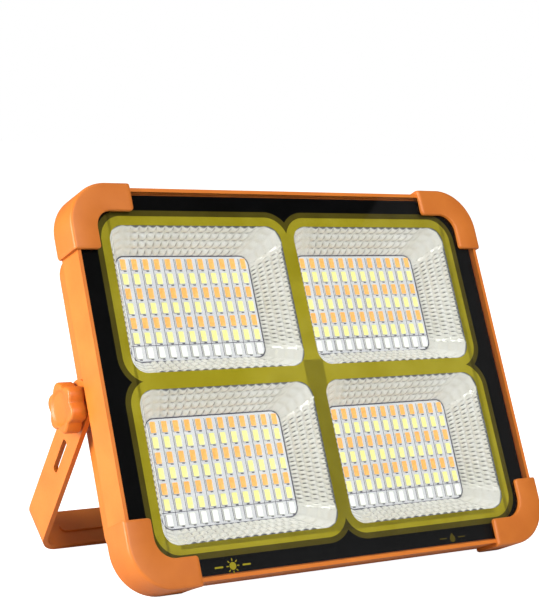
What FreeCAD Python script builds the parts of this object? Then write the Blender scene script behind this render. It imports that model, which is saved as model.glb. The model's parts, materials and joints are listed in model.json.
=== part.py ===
"""Portable solar flood light: a four-window LED panel that leans on a clamped U bracket.

Every piece is drawn face up, as it would lie on a bench:
  X runs along the panel, Y up the panel, Z out of the glass; the glass front is z = 0,
  its centre is the origin, and depth into the housing is -Z.
At the end each piece is tipped back into its standing place, on the two lower corner
bumpers and the bar of the bracket, with the middle of the whole lamp over the origin.
"""
import FreeCAD, Part
import math
import os
import re
import Sketcher

Vector = FreeCAD.Vector
Placement = FreeCAD.Placement
Rotation = FreeCAD.Rotation

# Driving dimensions, in millimetres, degrees or plain counts
SIZES = {
    "glass_width": 240,
    "glass_height": 185.5,
    "glass_thickness": 2.5,
    "glass_corner": 18,
    "glass_gap": 0.2,
    "print_thickness": 0.1,
    "print_inset": 1,
    "gasket_width": 4,
    "gasket_thickness": 0.9,
    "rim_width": 1.8,
    "frame_depth": 16,
    "frame_wall": 1.8,
    "frame_corner": 20,
    "ledge_width": 6,
    "ledge_thickness": 2.5,
    "post_radius": 3.6,
    "pilot_start": 7.5,
    "window_width": 98.2,
    "window_height": 72.6,
    "window_gap": 8,
    "window_corner": 7.75,
    "trim_width": 4.6,
    "band_width": 2.9,
    "centre_patch": 24,
    "cup_base_width": 77,
    "cup_base_height": 53.4,
    "cup_base_corner": 5,
    "cup_margin": 0.5,
    "cup_wall": 1.2,
    "cup_flange": 3,
    "cup_flange_thickness": 0.8,
    "led_plane": 19.5,
    "board_width": 96,
    "board_height": 70,
    "board_thickness": 1.6,
    "board_corner": 2,
    "board_hole_inset": 2.8,
    "led_width": 3.3,
    "led_length": 5.7,
    "led_height": 0.9,
    "led_pitch_across": 6.3,
    "led_pitch_up": 7.4,
    "led_columns": 12,
    "led_rows": 7,
    "spreader_width": 206,
    "spreader_height": 151,
    "spreader_thickness": 1.5,
    "spreader_corner": 4,
    "spreader_column_radius": 3.5,
    "control_column_radius": 2.8,
    "shell_depth": 42,
    "shell_wall": 2,
    "tub_width": 226,
    "tub_height": 160,
    "tub_corner": 12,
    "back_width": 222,
    "back_height": 152,
    "back_corner": 14,
    "back_rounding": 3,
    "flange_thickness": 2,
    "flange_gap": 0.3,
    "solar_width": 188,
    "solar_height": 110,
    "solar_centre_up": -15,
    "solar_recess": 2.4,
    "solar_corner": 2.5,
    "solar_gap": 0.3,
    "solar_board_thickness": 1,
    "solar_cover_thickness": 0.8,
    "cell_thickness": 0.2,
    "bay_width": 34,
    "bay_height": 18.6,
    "bay_depth": 3,
    "bay_across": 62,
    "bay_up": 60,
    "usb_up": 59,
    "flap_gap": 0.4,
    "flap_seat_gap": 0.3,
    "flap_thickness": 2.6,
    "flap_height": 15,
    "flap_corner": 1.2,
    "flap_web_height": 3,
    "flap_web_thickness": 2,
    "grip_length": 14,
    "grip_height": 1.6,
    "grip_proud": 0.8,
    "barrel_radius": 1.3,
    "barrel_up": 67.6,
    "barrel_depth": 40.6,
    "pin_radius": 0.6,
    "pin_length": 36,
    "running_gap": 0.05,
    "button_radius": 6,
    "button_flange_radius": 7.4,
    "button_flange_thickness": 1.2,
    "button_flange_gap": 0.3,
    "button_rounding": 0.6,
    "button_proud": 1.2,
    "button_stroke": 1,
    "button_stem_radius": 1.5,
    "button_stem_length": 7,
    "switch_width": 6,
    "switch_height": 3.5,
    "button_across": -62,
    "button_up": 59.5,
    "battery_width": 88,
    "battery_height": 84,
    "battery_thickness": 12,
    "battery_across": 48,
    "battery_up": -20,
    "battery_front": 23.8,
    "battery_corner": 3,
    "battery_rounding": 1.5,
    "foam_width": 76,
    "foam_height": 70,
    "control_width": 190,
    "control_height": 30,
    "control_up": 53.5,
    "control_front": 26,
    "bumper_wall": 2,
    "bumper_proud": 2,
    "bumper_reach_across": 35,
    "bumper_reach_up": 33,
    "bumper_leg": 14,
    "bumper_corner": 22,
    "bumper_inner_corner": 9,
    "bumper_bevel": 1.5,
    "pivot_up": -3.35,
    "pivot_depth": 30.2,
    "boss_radius": 8,
    "boss_face": 115,
    "inner_boss_radius": 6,
    "stud_radius": 3,
    "stud_hole_radius": 3.3,
    "insert_radius": 4.2,
    "insert_length": 10,
    "insert_sunk": 0.5,
    "pad_washer_radius": 8.5,
    "pad_washer_thickness": 1.4,
    "clamp_washer_radius": 8,
    "clamp_washer_thickness": 1,
    "clamp_gap": 0.1,
    "strap_thickness": 2.5,
    "strap_width": 20,
    "strap_reach": 80.7,
    "strap_slant": 8.5,
    "strap_tip": 13.4,
    "strap_tip_corner": 9.4,
    "strap_bend": 8.5,
    "slot_width": 4,
    "slot_start": 20.5,
    "slot_end": 39.5,
    "bead_width": 5,
    "bead_height": 0.8,
    "bar_hole_radius": 4.25,
    "side_hole_radius": 3.25,
    "side_hole_pitch": 140,
    "bracket_open_angle": 55,
    "knob_radius": 12.2,
    "knob_length": 8.1,
    "knob_lobes": 6,
    "scallop_radius": 3.6,
    "scallop_centre": 13.2,
    "knob_dish_radius": 8,
    "knob_dish_depth": 1,
    "knob_face_thickness": 3,
    "knob_ridge_rounding": 2,
    "knob_rim_rounding": 1,
    "stud_chamfer": 0.6,
}

doc = FreeCAD.newDocument("solar_flood_light")
sheet = doc.addObject("Spreadsheet::Sheet", "Sizes")
for row, (name, number) in enumerate(SIZES.items(), start=1):
    sheet.set(f"A{row}", name)
    sheet.set(f"B{row}", str(number))
    sheet.setAlias(f"B{row}", name)
doc.recompute()

PIECES = {}


def linked(expression):
    """The expression with each driving dimension's name pointing at the sheet."""
    return re.sub(r"[a-z][a-z_]+", lambda word: "Sizes." + word.group(), expression)


def size(expression):
    """The present value of an expression in the driving dimensions."""
    return float(sheet.evalExpression(linked(expression)))


def bind(item, target, expression):
    item.setExpression(target, linked(expression))


def keep(name, item, local=None):
    """Record a finished sub-part under its node name, with its place on the bench."""
    item.Label = name
    PIECES[name] = (item, local or Placement())
    return item


# ---------------------------------------------------------------- PartDesign helpers
def new_body(name):
    body = doc.addObject("PartDesign::Body", name)
    body.Label = name
    return body


def sketch_on(body, role="XY_Plane", x="0", y="0", z="0"):
    """A sketch on one of the body's own planes, moved by x, y and z in that plane's axes."""
    sketch = body.newObject("Sketcher::SketchObject", "Sketch")
    plane = next(item for item in body.Origin.OriginFeatures if item.Role == role)
    sketch.AttachmentSupport = [(plane, "")]
    sketch.MapMode = "FlatFace"
    for axis, expression in zip("xyz", (x, y, z)):
        bind(sketch, f"AttachmentOffset.Base.{axis}", expression)
    return sketch


def dimension(sketch, kind, *rest):
    """A driving constraint whose value is the last argument, an expression."""
    *where, expression = rest
    index = sketch.addConstraint(Sketcher.Constraint(kind, *where, size(expression)))
    bind(sketch, f"Constraints[{index}]", expression)


def rounded_rectangle(sketch, width, height, radius):
    """A rounded rectangle about the sketch's origin."""
    w = size(width) / 2
    up = size(height) / 2
    r = size(radius)
    first = sketch.GeometryCount
    corners = [(-w, -up), (w, -up), (w, up), (-w, up)]
    for k in range(4):
        x0, y0 = corners[k]
        x1, y1 = corners[(k + 1) % 4]
        dx = math.copysign(r, x1 - x0) if k % 2 == 0 else 0
        dy = math.copysign(r, y1 - y0) if k % 2 == 1 else 0
        start = Vector(x0 + dx, y0 + dy, 0)
        sketch.addGeometry(Part.LineSegment(start, Vector(x1 - dx, y1 - dy, 0)))
    for k in range(4):
        x, y = corners[(k + 1) % 4]
        centre = Vector(x - math.copysign(r, x), y - math.copysign(r, y), 0)
        circle = Part.Circle(centre, Vector(0, 0, 1), r)
        turn = math.radians(-90 + 90 * k)
        sketch.addGeometry(Part.ArcOfCircle(circle, turn, turn + math.pi / 2))
    for k in range(4):
        line = first + k
        arc = first + 4 + k
        following = first + (k + 1) % 4
        sketch.addConstraint(Sketcher.Constraint("Tangent", line, 2, arc, 1))
        sketch.addConstraint(Sketcher.Constraint("Tangent", arc, 2, following, 1))
        if k:
            sketch.addConstraint(Sketcher.Constraint("Equal", first + 4, arc))
    for k in (0, 2):
        sketch.addConstraint(Sketcher.Constraint("Horizontal", first + k))
        sketch.addConstraint(Sketcher.Constraint("Vertical", first + k + 1))
    sketch.addConstraint(Sketcher.Constraint("Symmetric", first, 1, first + 2, 1, -1, 1))
    dimension(sketch, "Radius", first + 4, radius)
    dimension(sketch, "DistanceX", first + 3, 1, first + 1, 1, width)
    dimension(sketch, "DistanceY", first, 1, first + 2, 1, height)


def circle_on(sketch, radius):
    """A circle about the sketch's origin."""
    index = sketch.addGeometry(Part.Circle(Vector(), Vector(0, 0, 1), size(radius)))
    sketch.addConstraint(Sketcher.Constraint("Coincident", index, 3, -1, 1))
    dimension(sketch, "Radius", index, radius)


def bent_strip(sketch, half_width, top, low, thickness, bend):
    """The section of a strip bent to a U: arms at half_width, bar at low, round corners."""
    half_bar = half_width - bend
    centre_y = low + bend
    outline = []
    for side in (-1, 1):
        centre = Vector(side * half_bar, centre_y, 0)
        start = math.pi if side < 0 else 1.5 * math.pi
        for radius in (bend, bend - thickness):
            face = side * (half_bar + radius)
            outline.append(Part.LineSegment(Vector(face, top, 0), Vector(face, centre_y, 0)))
            circle = Part.Circle(centre, Vector(0, 0, 1), radius)
            outline.append(Part.ArcOfCircle(circle, start, start + math.pi / 2))
        outer = side * half_width
        inner = side * (half_width - thickness)
        outline.append(Part.LineSegment(Vector(outer, top, 0), Vector(inner, top, 0)))
    for level in (low, low + thickness):
        outline.append(Part.LineSegment(Vector(-half_bar, level, 0), Vector(half_bar, level, 0)))
    for piece in outline:
        index = sketch.addGeometry(piece)
        sketch.addConstraint(Sketcher.Constraint("Block", index))


def refresh(*items):
    """Work out the newest items, sketches before the features made from them."""
    doc.recompute([*items[1:], items[0]])
    for item in items:
        if "Invalid" in item.State:
            raise RuntimeError(f"{items[0].Label}: {item.Label} could not be worked out")


def pad(body, sketch, length, reverse=True, midplane=False):
    """Material from the sketch, towards -Z on a face-up sketch unless reverse is off."""
    feature = body.newObject("PartDesign::Pad", "Pad")
    feature.Profile = sketch
    bind(feature, "Length", length)
    feature.Reversed = reverse
    feature.Midplane = midplane
    refresh(body, sketch, feature)
    return feature


def pocket(body, sketch, length, reverse=False, midplane=False):
    """Remove material, towards -Z on a face-up sketch unless reverse is set."""
    before = body.Shape.Volume
    feature = body.newObject("PartDesign::Pocket", "Pocket")
    feature.Profile = sketch
    bind(feature, "Length", length)
    feature.Reversed = reverse
    feature.Midplane = midplane
    refresh(body, sketch, feature)
    if body.Shape.Volume > before - 1e-6:
        raise RuntimeError(f"{body.Label}: a pocket removed nothing")
    return feature


def loft(body, kind, first, second):
    feature = body.newObject(kind, "Loft")
    feature.Profile = first
    feature.Sections = [second]
    feature.Ruled = True
    refresh(body, first, second, feature)
    return feature


def edges_where(shape, test):
    """Names of the edges for which the test, given the edge's two ends, is true."""
    found = []
    for number, edge in enumerate(shape.Edges, start=1):
        ends = [vertex.Point for vertex in edge.Vertexes]
        if len(ends) == 2 and test(*ends):
            found.append(f"Edge{number}")
    return found


def dress(body, kind, edges, amount):
    """A fillet or a chamfer of the given amount along the named edges of the body's tip."""
    if not edges:
        raise RuntimeError(f"{body.Label}: no edges to dress")
    base = body.Tip
    feature = body.newObject(kind, "Dress")
    feature.Base = (base, edges)
    target = "Radius" if kind == "PartDesign::Fillet" else "Size"
    bind(feature, target, amount)
    refresh(body, feature)
    return feature


# ---------------------------------------------------------------- plain-solid helpers
def plain(name, shape):
    """A sub-part whose shape is worked out directly, such as a group of like pieces."""
    item = doc.addObject("Part::Feature", name)
    item.Shape = shape
    return keep(name, item)


def block(centre_x, centre_y, front, width, height, thickness):
    """A box that starts at depth front and goes thickness deeper."""
    corner = Vector(centre_x - width / 2, centre_y - height / 2, -front - thickness)
    return Part.makeBox(width, height, thickness, corner)


def post(x, y, front, back, radius):
    """A cylinder along the depth, from depth front to depth back."""
    return Part.makeCylinder(radius, back - front, Vector(x, y, -back))


def through(x, y, front, thickness, radius):
    """A drill that passes right through a sheet whose face is at depth front."""
    return post(x, y, front - 1, front + thickness + 1, radius)


def screws(kind, places, head_face, shank_radius, tip, head_behind=False):
    """Pan-head screws along the depth; head_behind puts the head on the far side."""
    head_radius, head_height = SCREW_HEADS[kind]
    group = []
    for x, y in places:
        if head_behind:
            head = post(x, y, head_face, head_face + head_height, head_radius)
            recess = post(x, y, head_face + head_height / 2, head_face + head_height, head_radius / 3)
            shank = post(x, y, tip, head_face, shank_radius)
        else:
            head = post(x, y, head_face - head_height, head_face, head_radius)
            recess = post(x, y, head_face - head_height, head_face - head_height / 2, head_radius / 3)
            shank = post(x, y, head_face, tip, shank_radius)
        group.append(head.cut(recess).fuse(shank))
    return Part.makeCompound(group)


def fused(name, item, additions):
    """The item joined with a group of plain solids."""
    group = doc.addObject("Part::Feature", name + "_additions")
    group.Shape = Part.makeCompound(additions)
    whole = doc.addObject("Part::MultiFuse", name)
    whole.Shapes = [item, group]
    doc.recompute([whole])
    return whole


def drilled(name, item, holes):
    """The item with a group of plain solids cut out of it, kept under its node name."""
    group = doc.addObject("Part::Feature", name + "_drills")
    group.Shape = Part.makeCompound(holes)
    result = doc.addObject("Part::Cut", name)
    result.Base = item
    result.Tool = group
    doc.recompute([result])
    if not result.Shape.Volume < item.Shape.Volume:
        raise RuntimeError(f"{name}: the holes removed nothing")
    return keep(name, result)


# ---------------------------------------------------------------- shared places
SIDES = {"left": -1, "right": 1}
WINDOWS = {
    "top_left": (-1, 1),
    "top_right": (1, 1),
    "bottom_left": (-1, -1),
    "bottom_right": (1, -1),
}
HALF_PITCH_X = "(window_width + window_gap) / 2"
HALF_PITCH_Y = "(window_height + window_gap) / 2"
FRAME_WIDTH = "glass_width + 2 * rim_width"
FRAME_HEIGHT = "glass_height + 2 * rim_width"
SEAT_DEPTH = "glass_thickness + print_thickness + gasket_thickness"
HOUSING_SCREWS = [(x, y) for x in (-116.5, 116.5) for y in (-45, 45)]
HOUSING_SCREWS += [(x, y) for x in (-60, 60) for y in (-87.6, 87.6)]
SPREADER_SCREWS = [(0, 30), (0, -66), (-99.5, 0), (99.5, 0)]
CONTROL_SCREWS = [(x, y) for x in (-90, 90) for y in (48.5, 64.5)]
INDICATORS = [-30, -22, -14, -6]
INDICATOR_LED_SIZE = (2, 1.25, 0.8)
BATTERY_PLUG_X = [-48, 48]
PLUG_UP = 41.5
PLUG_SIZE = (7.5, 5, 5.5)
SOLAR_LEADS = [(8, 39.2), (11, 39.2)]
LED_LEADS = [(side * 50 + step, 45) for side in (-1, 1) for step in (-2, 2)]
CLEARANCE = 0.05
PASSAGE = 0.2
SCREW_RADIUS = 1.5
SMALL_SCREW_RADIUS = 1.2
HOUSING_SCREW_TIP = 8
SPREADER_SCREW_LENGTH = 9
CONTROL_SCREW_LENGTH = 7
# Radius and height of each kind of screw head
SCREW_HEADS = {
    "housing": (2.6, 1.8),
    "spreader": (2.3, 1.4),
    "board": (1.9, 1.2),
    "control": (2.1, 1.2),
}
WIRE_RADIUS = 0.7
WIRE_HOLE_RADIUS = 1
PIPE_RADIUS = 1.5
SOCKET_DEPTH = 9
SOCKET_GAP = 0.1
# Across, outer and inner corner radius, shell wall, tongue, and the flap's plug for each socket
USB_SOCKETS = {
    "usb_a_socket": {
        "x": 54.5,
        "outer": (13.2, 5.8),
        "corners": (0.5, 0.5),
        "wall": 0.35,
        "tongue": (11.1, 1.8),
        "tongue_recess": 2.5,
        "plug": (11.4, 3.9, 1.2),
    },
    "usb_c_socket": {
        "x": 71.0,
        "outer": (8.94, 3.16),
        "corners": (1.4, 1.1),
        "wall": 0.3,
        "tongue": (6.7, 0.7),
        "tongue_recess": 2.0,
        "plug": (7.4, 1.7, 0.8),
    },
}
# The faces met along each pivot, from the housing outwards
ARM_INNER = "boss_face + pad_washer_thickness + clamp_gap"
ARM_OUTER = f"{ARM_INNER} + strap_thickness"
KNOB_FOOT = f"{ARM_OUTER} + clamp_gap + clamp_washer_thickness + clamp_gap"


# ---------------------------------------------------------------- housing
def front_frame():
    """Moulded ring round the glass, with the ledge that carries it and eight screw posts."""
    body = new_body("frame_ring")
    outline = sketch_on(body)
    rounded_rectangle(outline, FRAME_WIDTH, FRAME_HEIGHT, "frame_corner")
    pad(body, outline, "frame_depth")

    opening = sketch_on(body)
    rounded_rectangle(
        opening,
        "glass_width - 2 * ledge_width",
        "glass_height - 2 * ledge_width",
        "glass_corner - ledge_width",
    )
    pocket(body, opening, "frame_depth")

    cavity = sketch_on(body, z="-frame_depth")
    rounded_rectangle(
        cavity,
        f"{FRAME_WIDTH} - 2 * frame_wall",
        f"{FRAME_HEIGHT} - 2 * frame_wall",
        "frame_corner - frame_wall",
    )
    pocket(body, cavity, f"frame_depth - ({SEAT_DEPTH}) - ledge_thickness", reverse=True)

    seat = sketch_on(body)
    rounded_rectangle(seat, "glass_width", "glass_height", "glass_corner")
    pocket(body, seat, SEAT_DEPTH)

    seat_depth = size(SEAT_DEPTH)
    end = size("frame_depth - flange_thickness")
    radius = size("post_radius")
    posts = [post(x, y, seat_depth + 0.5, end, radius) for x, y in HOUSING_SCREWS]
    start = size("pilot_start")
    pilots = [post(x, y, start, end + 1, SCREW_RADIUS + CLEARANCE) for x, y in HOUSING_SCREWS]
    drilled("front_frame", fused("frame_with_posts", body, posts), pilots)


def rear_housing():
    """Tub-shaped rear shell: a flange let into the front frame, a tapered tub with the
    solar recess and the port bay in its back, and a boss for each pivot."""
    body = new_body("rear_shell")
    face = sketch_on(body, z="-frame_depth + flange_thickness")
    rounded_rectangle(
        face,
        "glass_width - 2 * flange_gap",
        "glass_height - 2 * flange_gap",
        "glass_corner - flange_gap",
    )
    pad(body, face, "flange_thickness")
    front = sketch_on(body, z="-frame_depth")
    rounded_rectangle(front, "tub_width", "tub_height", "tub_corner")
    back = sketch_on(body, z="-shell_depth")
    rounded_rectangle(back, "back_width", "back_height", "back_corner")
    loft(body, "PartDesign::AdditiveLoft", front, back)
    rear = -size("shell_depth")
    rim = edges_where(body.Shape, lambda a, b: abs(a.z - rear) < 1e-6 and abs(b.z - rear) < 1e-6)
    dress(body, "PartDesign::Fillet", rim[:1], "back_rounding")
    for side in SIDES.values():
        boss = sketch_on(body, "YZ_Plane", "pivot_up", "-pivot_depth", f"{side} * boss_face")
        circle_on(boss, "boss_radius")
        pad(body, boss, "shell_wall + 2", reverse=side > 0)

    inner = ("tub_width - 2 * shell_wall", "tub_height - 2 * shell_wall", "tub_corner - shell_wall")
    mouth = sketch_on(body, z="-frame_depth + flange_thickness")
    rounded_rectangle(mouth, *inner)
    pocket(body, mouth, "flange_thickness")
    throat = sketch_on(body, z="-frame_depth")
    rounded_rectangle(throat, *inner)
    floor = sketch_on(body, z="-shell_depth + shell_wall")
    rounded_rectangle(
        floor,
        "back_width - 2 * shell_wall",
        "back_height - 2 * shell_wall",
        "back_corner - shell_wall",
    )
    loft(body, "PartDesign::SubtractiveLoft", throat, floor)
    for side in SIDES.values():
        inner_face = f"{side} * (boss_face - insert_sunk)"
        seat = sketch_on(body, "YZ_Plane", "pivot_up", "-pivot_depth", inner_face)
        circle_on(seat, "inner_boss_radius")
        pad(body, seat, "insert_length + 1", reverse=side > 0)
        bore = sketch_on(body, "YZ_Plane", "pivot_up", "-pivot_depth", f"{side} * (boss_face + 1)")
        circle_on(bore, "insert_radius")
        pocket(body, bore, "insert_length + 4", reverse=side < 0)

    inner_floor = "-shell_depth + shell_wall"
    solar_seat = sketch_on(body, y="solar_centre_up", z=inner_floor)
    rounded_rectangle(
        solar_seat,
        "solar_width + 2 * (solar_gap + shell_wall)",
        "solar_height + 2 * (solar_gap + shell_wall)",
        "solar_corner + solar_gap",
    )
    pad(body, solar_seat, "solar_recess", reverse=False)
    bay_box = sketch_on(body, x="bay_across", y="bay_up", z=inner_floor)
    rounded_rectangle(bay_box, "bay_width + 2 * shell_wall", "bay_height + 2 * shell_wall", "shell_wall")
    pad(body, bay_box, "bay_depth", reverse=False)

    back = "-shell_depth"
    recess = sketch_on(body, y="solar_centre_up", z=back)
    rounded_rectangle(
        recess,
        "solar_width + 2 * solar_gap",
        "solar_height + 2 * solar_gap",
        "solar_corner + solar_gap",
    )
    pocket(body, recess, "solar_recess", reverse=True)
    bay = sketch_on(body, x="bay_across", y="bay_up", z=back)
    rounded_rectangle(bay, "bay_width", "bay_height", "flap_corner")
    pocket(body, bay, "bay_depth", reverse=True)
    for socket in USB_SOCKETS.values():
        width, height = (span + 2 * SOCKET_GAP for span in socket["outer"])
        slot = sketch_on(body, x=str(socket["x"]), y="usb_up", z=back)
        rounded_rectangle(slot, str(width), str(height), "1")
        pocket(body, slot, "bay_depth + shell_wall + 1", reverse=True)
    button = sketch_on(body, x="button_across", y="button_up", z=back)
    circle_on(button, "button_radius + flap_gap")
    pocket(body, button, "2 * shell_wall", reverse=True)
    pin_end = "bay_across + pin_length / 2"
    bore = sketch_on(body, "YZ_Plane", "barrel_up", "-barrel_depth", pin_end)
    circle_on(bore, "pin_radius + running_gap")
    pocket(body, bore, "pin_length")

    frame_depth = size("frame_depth")
    back_depth = size("shell_depth")
    spreader_back = size("led_plane + board_thickness + spreader_thickness")
    control_back = size("control_front + board_thickness")
    columns = []
    for x, y in SPREADER_SCREWS:
        # A column over the solar recess stops inside the recess's thicker floor.
        end = back_depth - (size("solar_recess") if x == 0 else 0) - size("shell_wall") / 2
        columns.append(post(x, y, spreader_back, end, size("spreader_column_radius")))
    end = back_depth - size("shell_wall") / 2
    radius = size("control_column_radius")
    columns += [post(x, y, control_back, end, radius) for x, y in CONTROL_SCREWS]
    full = fused("shell_with_columns", body, columns)

    thickness = size("flange_thickness")
    wide = SCREW_RADIUS + PASSAGE
    drills = [through(x, y, frame_depth - thickness, thickness, wide) for x, y in HOUSING_SCREWS]
    small = SMALL_SCREW_RADIUS + CLEARANCE
    drills += [through(x, y, spreader_back, SPREADER_SCREW_LENGTH, small) for x, y in SPREADER_SCREWS]
    drills += [through(x, y, control_back, CONTROL_SCREW_LENGTH - 1, small) for x, y in CONTROL_SCREWS]
    wall = size("shell_wall")
    wide = PIPE_RADIUS + CLEARANCE
    drills += [through(x, size("button_up"), back_depth - wall, wall, wide) for x in INDICATORS]
    wall += size("solar_recess")
    drills += [through(x, y, back_depth - wall, wall, WIRE_HOLE_RADIUS) for x, y in SOLAR_LEADS]
    drilled("rear_housing", full, drills)


def housing_screws():
    """Eight self-tapping screws, driven through the rear flange into the front frame."""
    head_face = size("frame_depth")
    group = screws("housing", HOUSING_SCREWS, head_face, SCREW_RADIUS, HOUSING_SCREW_TIP, True)
    plain("housing_screws", group)


def corner_bumper(name, up):
    """One right-hand rubber corner: an L-shaped face plate and a skirt round the housing."""
    body = new_body(name)
    half_width = "(glass_width / 2 + rim_width + bumper_wall)"
    half_height = "(glass_height / 2 + rim_width + bumper_wall)"
    corner = sketch_on(
        body,
        x=f"{half_width} - bumper_reach_across / 2",
        y=f"{up} * ({half_height} - bumper_reach_up / 2)",
        z="bumper_proud",
    )
    rounded_rectangle(corner, "bumper_reach_across", "bumper_reach_up", "0.5")
    pad(body, corner, "bumper_proud + frame_depth")

    # The block's own corner is nearly sharp; the outside of the lamp's corner replaces it.
    outside = new_body(name + "_outside")
    outline = sketch_on(outside, z="bumper_proud")
    rounded_rectangle(outline, f"2 * {half_width}", f"2 * {half_height}", "bumper_corner")
    pad(outside, outline, "bumper_proud + frame_depth")
    front = size("bumper_proud")
    rim = edges_where(outside.Shape, lambda a, b: abs(a.z - front) < 1e-6 and abs(b.z - front) < 1e-6)
    dress(outside, "PartDesign::Chamfer", rim[:1], "bumper_bevel")

    window = sketch_on(body, z="bumper_proud")
    rounded_rectangle(
        window,
        f"2 * ({half_width} - bumper_leg)",
        f"2 * ({half_height} - bumper_leg)",
        "bumper_inner_corner",
    )
    pocket(body, window, "bumper_proud + frame_depth")
    housing = sketch_on(body)
    rounded_rectangle(housing, FRAME_WIDTH, FRAME_HEIGHT, "frame_corner")
    pocket(body, housing, "frame_depth")

    cut = doc.addObject("Part::MultiCommon", name)
    cut.Shapes = [body, outside]
    doc.recompute()
    keep(name, cut)
    return cut


def corner_bumpers():
    for height, up in (("top", 1), ("bottom", -1)):
        right = corner_bumper(f"bumper_{height}_right", up)
        left = doc.addObject("Part::Mirroring", f"bumper_{height}_left")
        left.Source = right
        left.Normal = Vector(1, 0, 0)
        doc.recompute()
        keep(f"bumper_{height}_left", left)


# ---------------------------------------------------------------- glass and prints
def sheet_piece(name, width, height, radius, front, thickness, hole=None):
    """A flat rounded sheet or frame at depth front."""
    body = new_body(name)
    outline = sketch_on(body, z=f"-({front})")
    rounded_rectangle(outline, width, height, radius)
    if hole:
        rounded_rectangle(outline, *hole)
    pad(body, outline, thickness)
    return keep(name, body)


def window_group(body, feature, grow, front, thickness):
    """The four windows' shared outline, grown outwards, added to or cut from a body."""
    for across, up in WINDOWS.values():
        sketch = sketch_on(
            body,
            x=f"{across} * {HALF_PITCH_X}",
            y=f"{up} * {HALF_PITCH_Y}",
            z=f"-({front})",
        )
        rounded_rectangle(
            sketch,
            f"window_width + 2 * ({grow})",
            f"window_height + 2 * ({grow})",
            f"window_corner + {grow}",
        )
        feature(body, sketch, thickness)
    centre = sketch_on(body, z=f"-({front})")
    rounded_rectangle(centre, "centre_patch", "centre_patch", "1")
    feature(body, centre, thickness)


def prints():
    """Layers printed on the back of the glass: black mask, olive band and gold trim."""
    front = "glass_thickness"
    mask = new_body("black_print")
    outline = sketch_on(mask, z=f"-({front})")
    rounded_rectangle(
        outline,
        "glass_width - 2 * print_inset",
        "glass_height - 2 * print_inset",
        "glass_corner - print_inset",
    )
    pad(mask, outline, "print_thickness")
    window_group(mask, pocket, "(trim_width + band_width)", front, "print_thickness")
    keep("black_print", mask)

    band = new_body("olive_print")
    window_group(band, pad, "(trim_width + band_width)", front, "print_thickness")
    window_group(band, pocket, "trim_width", front, "print_thickness")
    keep("olive_print", band)

    trim = new_body("gold_print")
    window_group(trim, pad, "trim_width", front, "print_thickness")
    for across, up in WINDOWS.values():
        window = sketch_on(
            trim,
            x=f"{across} * {HALF_PITCH_X}",
            y=f"{up} * {HALF_PITCH_Y}",
            z=f"-({front})",
        )
        rounded_rectangle(window, "window_width", "window_height", "window_corner")
        pocket(trim, window, "print_thickness")
    keep("gold_print", trim)


def glass_and_gasket():
    sheet_piece(
        "front_glass",
        "glass_width - 2 * glass_gap",
        "glass_height - 2 * glass_gap",
        "glass_corner - glass_gap",
        "0",
        "glass_thickness",
    )
    sheet_piece(
        "glass_gasket",
        "glass_width - 2 * print_inset",
        "glass_height - 2 * print_inset",
        "glass_corner - print_inset",
        "glass_thickness + print_thickness",
        "gasket_thickness",
        (
            "glass_width - 2 * (print_inset + gasket_width)",
            "glass_height - 2 * (print_inset + gasket_width)",
            "glass_corner - print_inset - gasket_width",
        ),
    )


# ---------------------------------------------------------------- light engine
def reflector(name, across, up):
    """A square cup that narrows from the window to the LED board, with a rim flange."""
    body = new_body(name)
    place = {"x": f"{across} * {HALF_PITCH_X}", "y": f"{up} * {HALF_PITCH_Y}"}
    rim = "glass_thickness + print_thickness"
    mouth = sketch_on(body, z=f"-({rim})", **place)
    rounded_rectangle(
        mouth,
        "window_width + 2 * (cup_margin + cup_wall)",
        "window_height + 2 * (cup_margin + cup_wall)",
        "window_corner + cup_margin + cup_wall",
    )
    base = sketch_on(body, z="-led_plane", **place)
    rounded_rectangle(
        base,
        "cup_base_width + 2 * cup_wall",
        "cup_base_height + 2 * cup_wall",
        "cup_base_corner + cup_wall",
    )
    loft(body, "PartDesign::AdditiveLoft", mouth, base)
    flange = sketch_on(body, z=f"-({rim})", **place)
    rounded_rectangle(
        flange,
        "window_width + 2 * (cup_margin + cup_flange)",
        "window_height + 2 * (cup_margin + cup_flange)",
        "window_corner + cup_flange",
    )
    pad(body, flange, "cup_flange_thickness")
    inner_mouth = sketch_on(body, z=f"-({rim})", **place)
    rounded_rectangle(
        inner_mouth,
        "window_width + 2 * cup_margin",
        "window_height + 2 * cup_margin",
        "window_corner + cup_margin",
    )
    inner_base = sketch_on(body, z="-led_plane", **place)
    rounded_rectangle(inner_base, "cup_base_width", "cup_base_height", "cup_base_corner")
    before = body.Shape.Volume
    loft(body, "PartDesign::SubtractiveLoft", inner_mouth, inner_base)
    if body.Shape.Volume > before / 2:
        raise RuntimeError("the reflector cup isn't hollow")
    keep(name, body)


def board_holes():
    """Screw places in one LED board, measured from its own centre."""
    half_x = size("board_width / 2 - board_hole_inset")
    half_y = size("board_height / 2 - board_hole_inset")
    return [(x, y) for x in (-half_x, half_x) for y in (-half_y, half_y)]


def led_board(name, across, up):
    """Aluminium-core board behind one window, with a screw hole in each corner."""
    body = new_body(name + "_blank")
    centre_x = f"{across} * {HALF_PITCH_X}"
    centre_y = f"{up} * {HALF_PITCH_Y}"
    outline = sketch_on(body, x=centre_x, y=centre_y, z="-led_plane")
    rounded_rectangle(outline, "board_width", "board_height", "board_corner")
    pad(body, outline, "board_thickness")
    front = size("led_plane")
    thickness = size("board_thickness")
    holes = []
    for x, y in board_holes():
        hole_x = size(centre_x) + x
        hole_y = size(centre_y) + y
        holes.append(through(hole_x, hole_y, front, thickness, SMALL_SCREW_RADIUS + PASSAGE))
    drilled(name, body, holes)


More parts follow.
